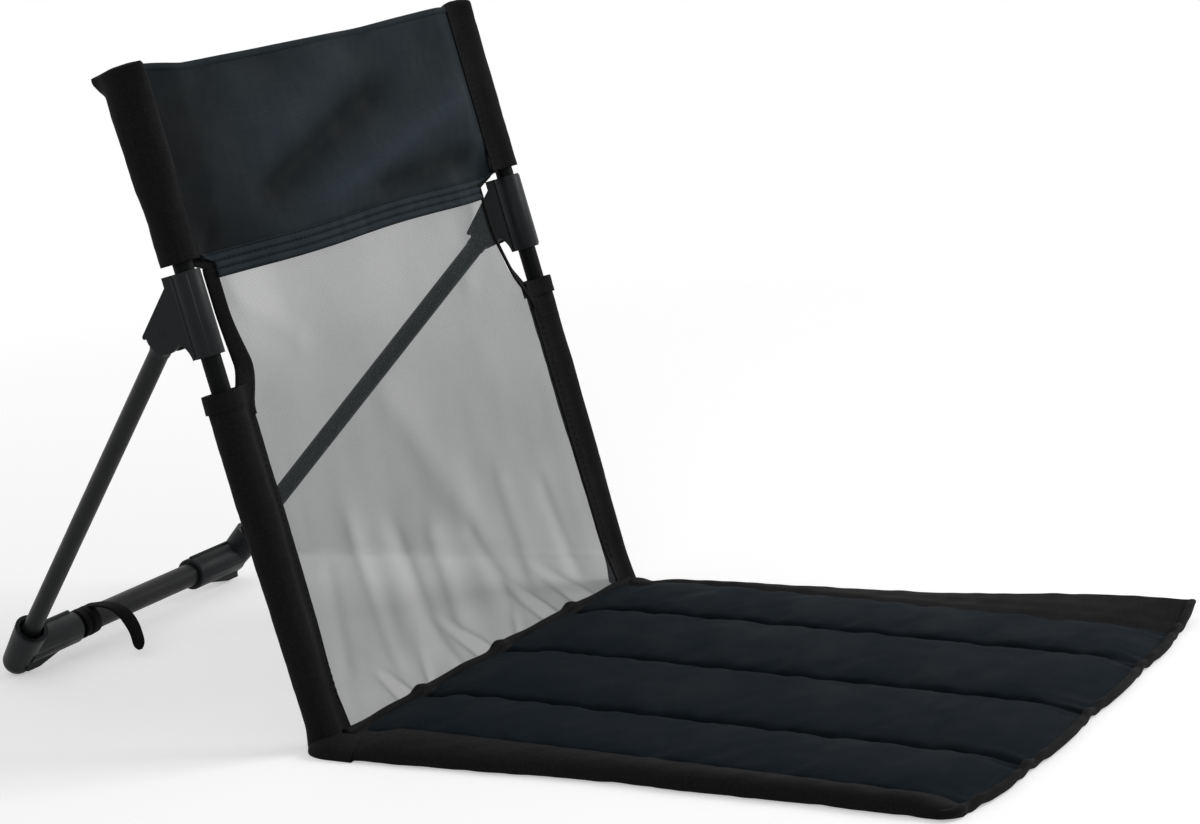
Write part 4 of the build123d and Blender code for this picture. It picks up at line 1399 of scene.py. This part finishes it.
class CHAIR_OT_stage(bpy.types.Operator):
    """Pale floor, soft light and the camera"""
    bl_idname = "chair.stage"
    bl_label = "Stage"
    bl_options = {"REGISTER", "UNDO"}

    def execute(self, context):
        scene = context.scene
        stage = scene.chair_stage
        self.floor(stage)
        self.room(scene, stage)
        self.lamp(scene, "key_lamp", (1.4, -1.9, 1.5), 1.3, stage.key)
        self.lamp(scene, "fill_lamp", (-2.1, -1.0, 1.2), 1.6, stage.fill)
        self.lamp(scene, "rim_lamp", (0.6, 1.9, 1.6), 1.4, stage.fill * 0.4)
        self.camera(scene)
        scene.view_settings.view_transform = "Standard"
        return {"FINISHED"}

    def floor(self, stage):
        """Round floor that fades out into the white room."""
        turn = np.linspace(0, 2 * math.pi, 96, endpoint=False)[:, None]
        radius = np.linspace(0.001, FLOOR_RADIUS, 14)[None, :]
        grid = np.stack([radius * np.cos(turn), radius * np.sin(turn), 0 * radius * turn], axis=-1)
        material, tree, shader = new_material("Pale floor")
        spot = place(tree, "ShaderNodeTexCoord").outputs["Object"]
        far = place(tree, "ShaderNodeVectorMath", {0: spot}, operation="LENGTH").outputs["Value"]
        tree.links.new(spread(tree, far, 1.0, 0.0, *FLOOR_FADE), shader.inputs["Alpha"])
        paper = sum_of(tree, "MULTIPLY", seen_rays(tree), stage.paper)
        tree.links.new(paper, shader.inputs["Emission Strength"])
        shader.inputs["Emission Color"].default_value = (1, 1, 1, 1)
        shader.inputs["Base Color"].default_value = (*stage.floor, 1)
        shader.inputs["Roughness"].default_value = 0.9
        shader.inputs["Specular IOR Level"].default_value = 0.1
        floor = cloth_object("floor", grid, material, wrap=True)

    def room(self, scene, stage):
        """White room that lights the chair evenly."""
        world = bpy.data.worlds.new("Room")
        scene.world = world
        world.use_nodes = True
        tree = world.node_tree
        tree.nodes.clear()
        power = spread(tree, seen_rays(tree), stage.sky, 1.0)
        light = place(tree, "ShaderNodeBackground", {"Color": (1, 1, 1, 1), "Strength": power})
        place(tree, "ShaderNodeOutputWorld", {"Surface": light.outputs[0]})

    def lamp(self, scene, name, spot, size, power):
        """Large square lamp that faces the chair."""
        data = bpy.data.lights.new(name, "AREA")
        data.energy = power
        data.size = size
        lamp = bpy.data.objects.new(name, data)
        lamp.location = spot
        lamp.rotation_euler = (LAMP_TARGET - Vector(spot)).to_track_quat("-Z", "Y").to_euler()
        scene.collection.objects.link(lamp)

    def camera(self, scene):
        """Camera at the photograph's place."""
        level = math.cos(CAMERA_ELEVATION)
        back = Vector((math.sin(CAMERA_AZIMUTH) * level, -math.cos(CAMERA_AZIMUTH) * level,
                       math.sin(CAMERA_ELEVATION)))
        right = (-back).cross(Vector((0, 0, 1))).normalized()
        up = right.cross(-back)
        across = right * math.cos(CAMERA_ROLL) + up * math.sin(CAMERA_ROLL)
        rise = up * math.cos(CAMERA_ROLL) - right * math.sin(CAMERA_ROLL)
        data = bpy.data.cameras.new("camera")
        data.sensor_width = 36.0
        data.lens = CAMERA_LENS
        data.clip_start = 0.05
        camera = bpy.data.objects.new("camera", data)
        scene.collection.objects.link(camera)
        turned = Matrix((across, rise, back)).transposed().to_4x4()
        camera.matrix_world = Matrix.Translation(CAMERA_TARGET + back * CAMERA_DISTANCE) @ turned
        scene.camera = camera


STEPS = (CHAIR_OT_tubes, CHAIR_OT_mouldings, CHAIR_OT_pins, CHAIR_OT_head_sleeves, CHAIR_OT_head_panel,
         CHAIR_OT_back_net, CHAIR_OT_net_bindings, CHAIR_OT_back_sleeves, CHAIR_OT_fold_seam,
         CHAIR_OT_seat_quilt, CHAIR_OT_seat_bands, CHAIR_OT_seat_ends, CHAIR_OT_corners,
         CHAIR_OT_stitching, CHAIR_OT_strap, CHAIR_OT_stage)
GROUPS = {"chair_cloth": ClothSettings, "chair_seat": SeatSettings,
          "chair_frame": FrameSettings, "chair_stage": StageSettings}


class CHAIR_PT_panel(bpy.types.Panel):
    """Lists the chair's settings and steps"""
    bl_idname = "CHAIR_PT_panel"
    bl_label = "Ground chair"
    bl_space_type = "VIEW_3D"
    bl_region_type = "UI"
    bl_category = "Ground chair"

    def draw(self, context):
        for name, group in GROUPS.items():
            box = self.layout.box()
            box.label(text=group.__doc__)
            for key in group.__annotations__:
                box.prop(getattr(context.scene, name), key)
        for step in STEPS:
            self.layout.operator(step.bl_idname)


def register():
    """Registers the settings, steps and panel."""
    for item in (*GROUPS.values(), *STEPS, CHAIR_PT_panel):
        bpy.utils.register_class(item)
    for name, group in GROUPS.items():
        setattr(bpy.types.Scene, name, bpy.props.PointerProperty(type=group))


def unregister():
    """Takes the settings, steps and panel away again."""
    for name in GROUPS:
        delattr(bpy.types.Scene, name)
    for item in reversed((*GROUPS.values(), *STEPS, CHAIR_PT_panel)):
        bpy.utils.unregister_class(item)


def main():
    """Dresses the chair."""
    register()
    for step in STEPS:
        group, name = step.bl_idname.split(".")
        getattr(getattr(bpy.ops, group), name)()


if __name__ == "__main__":
    main()
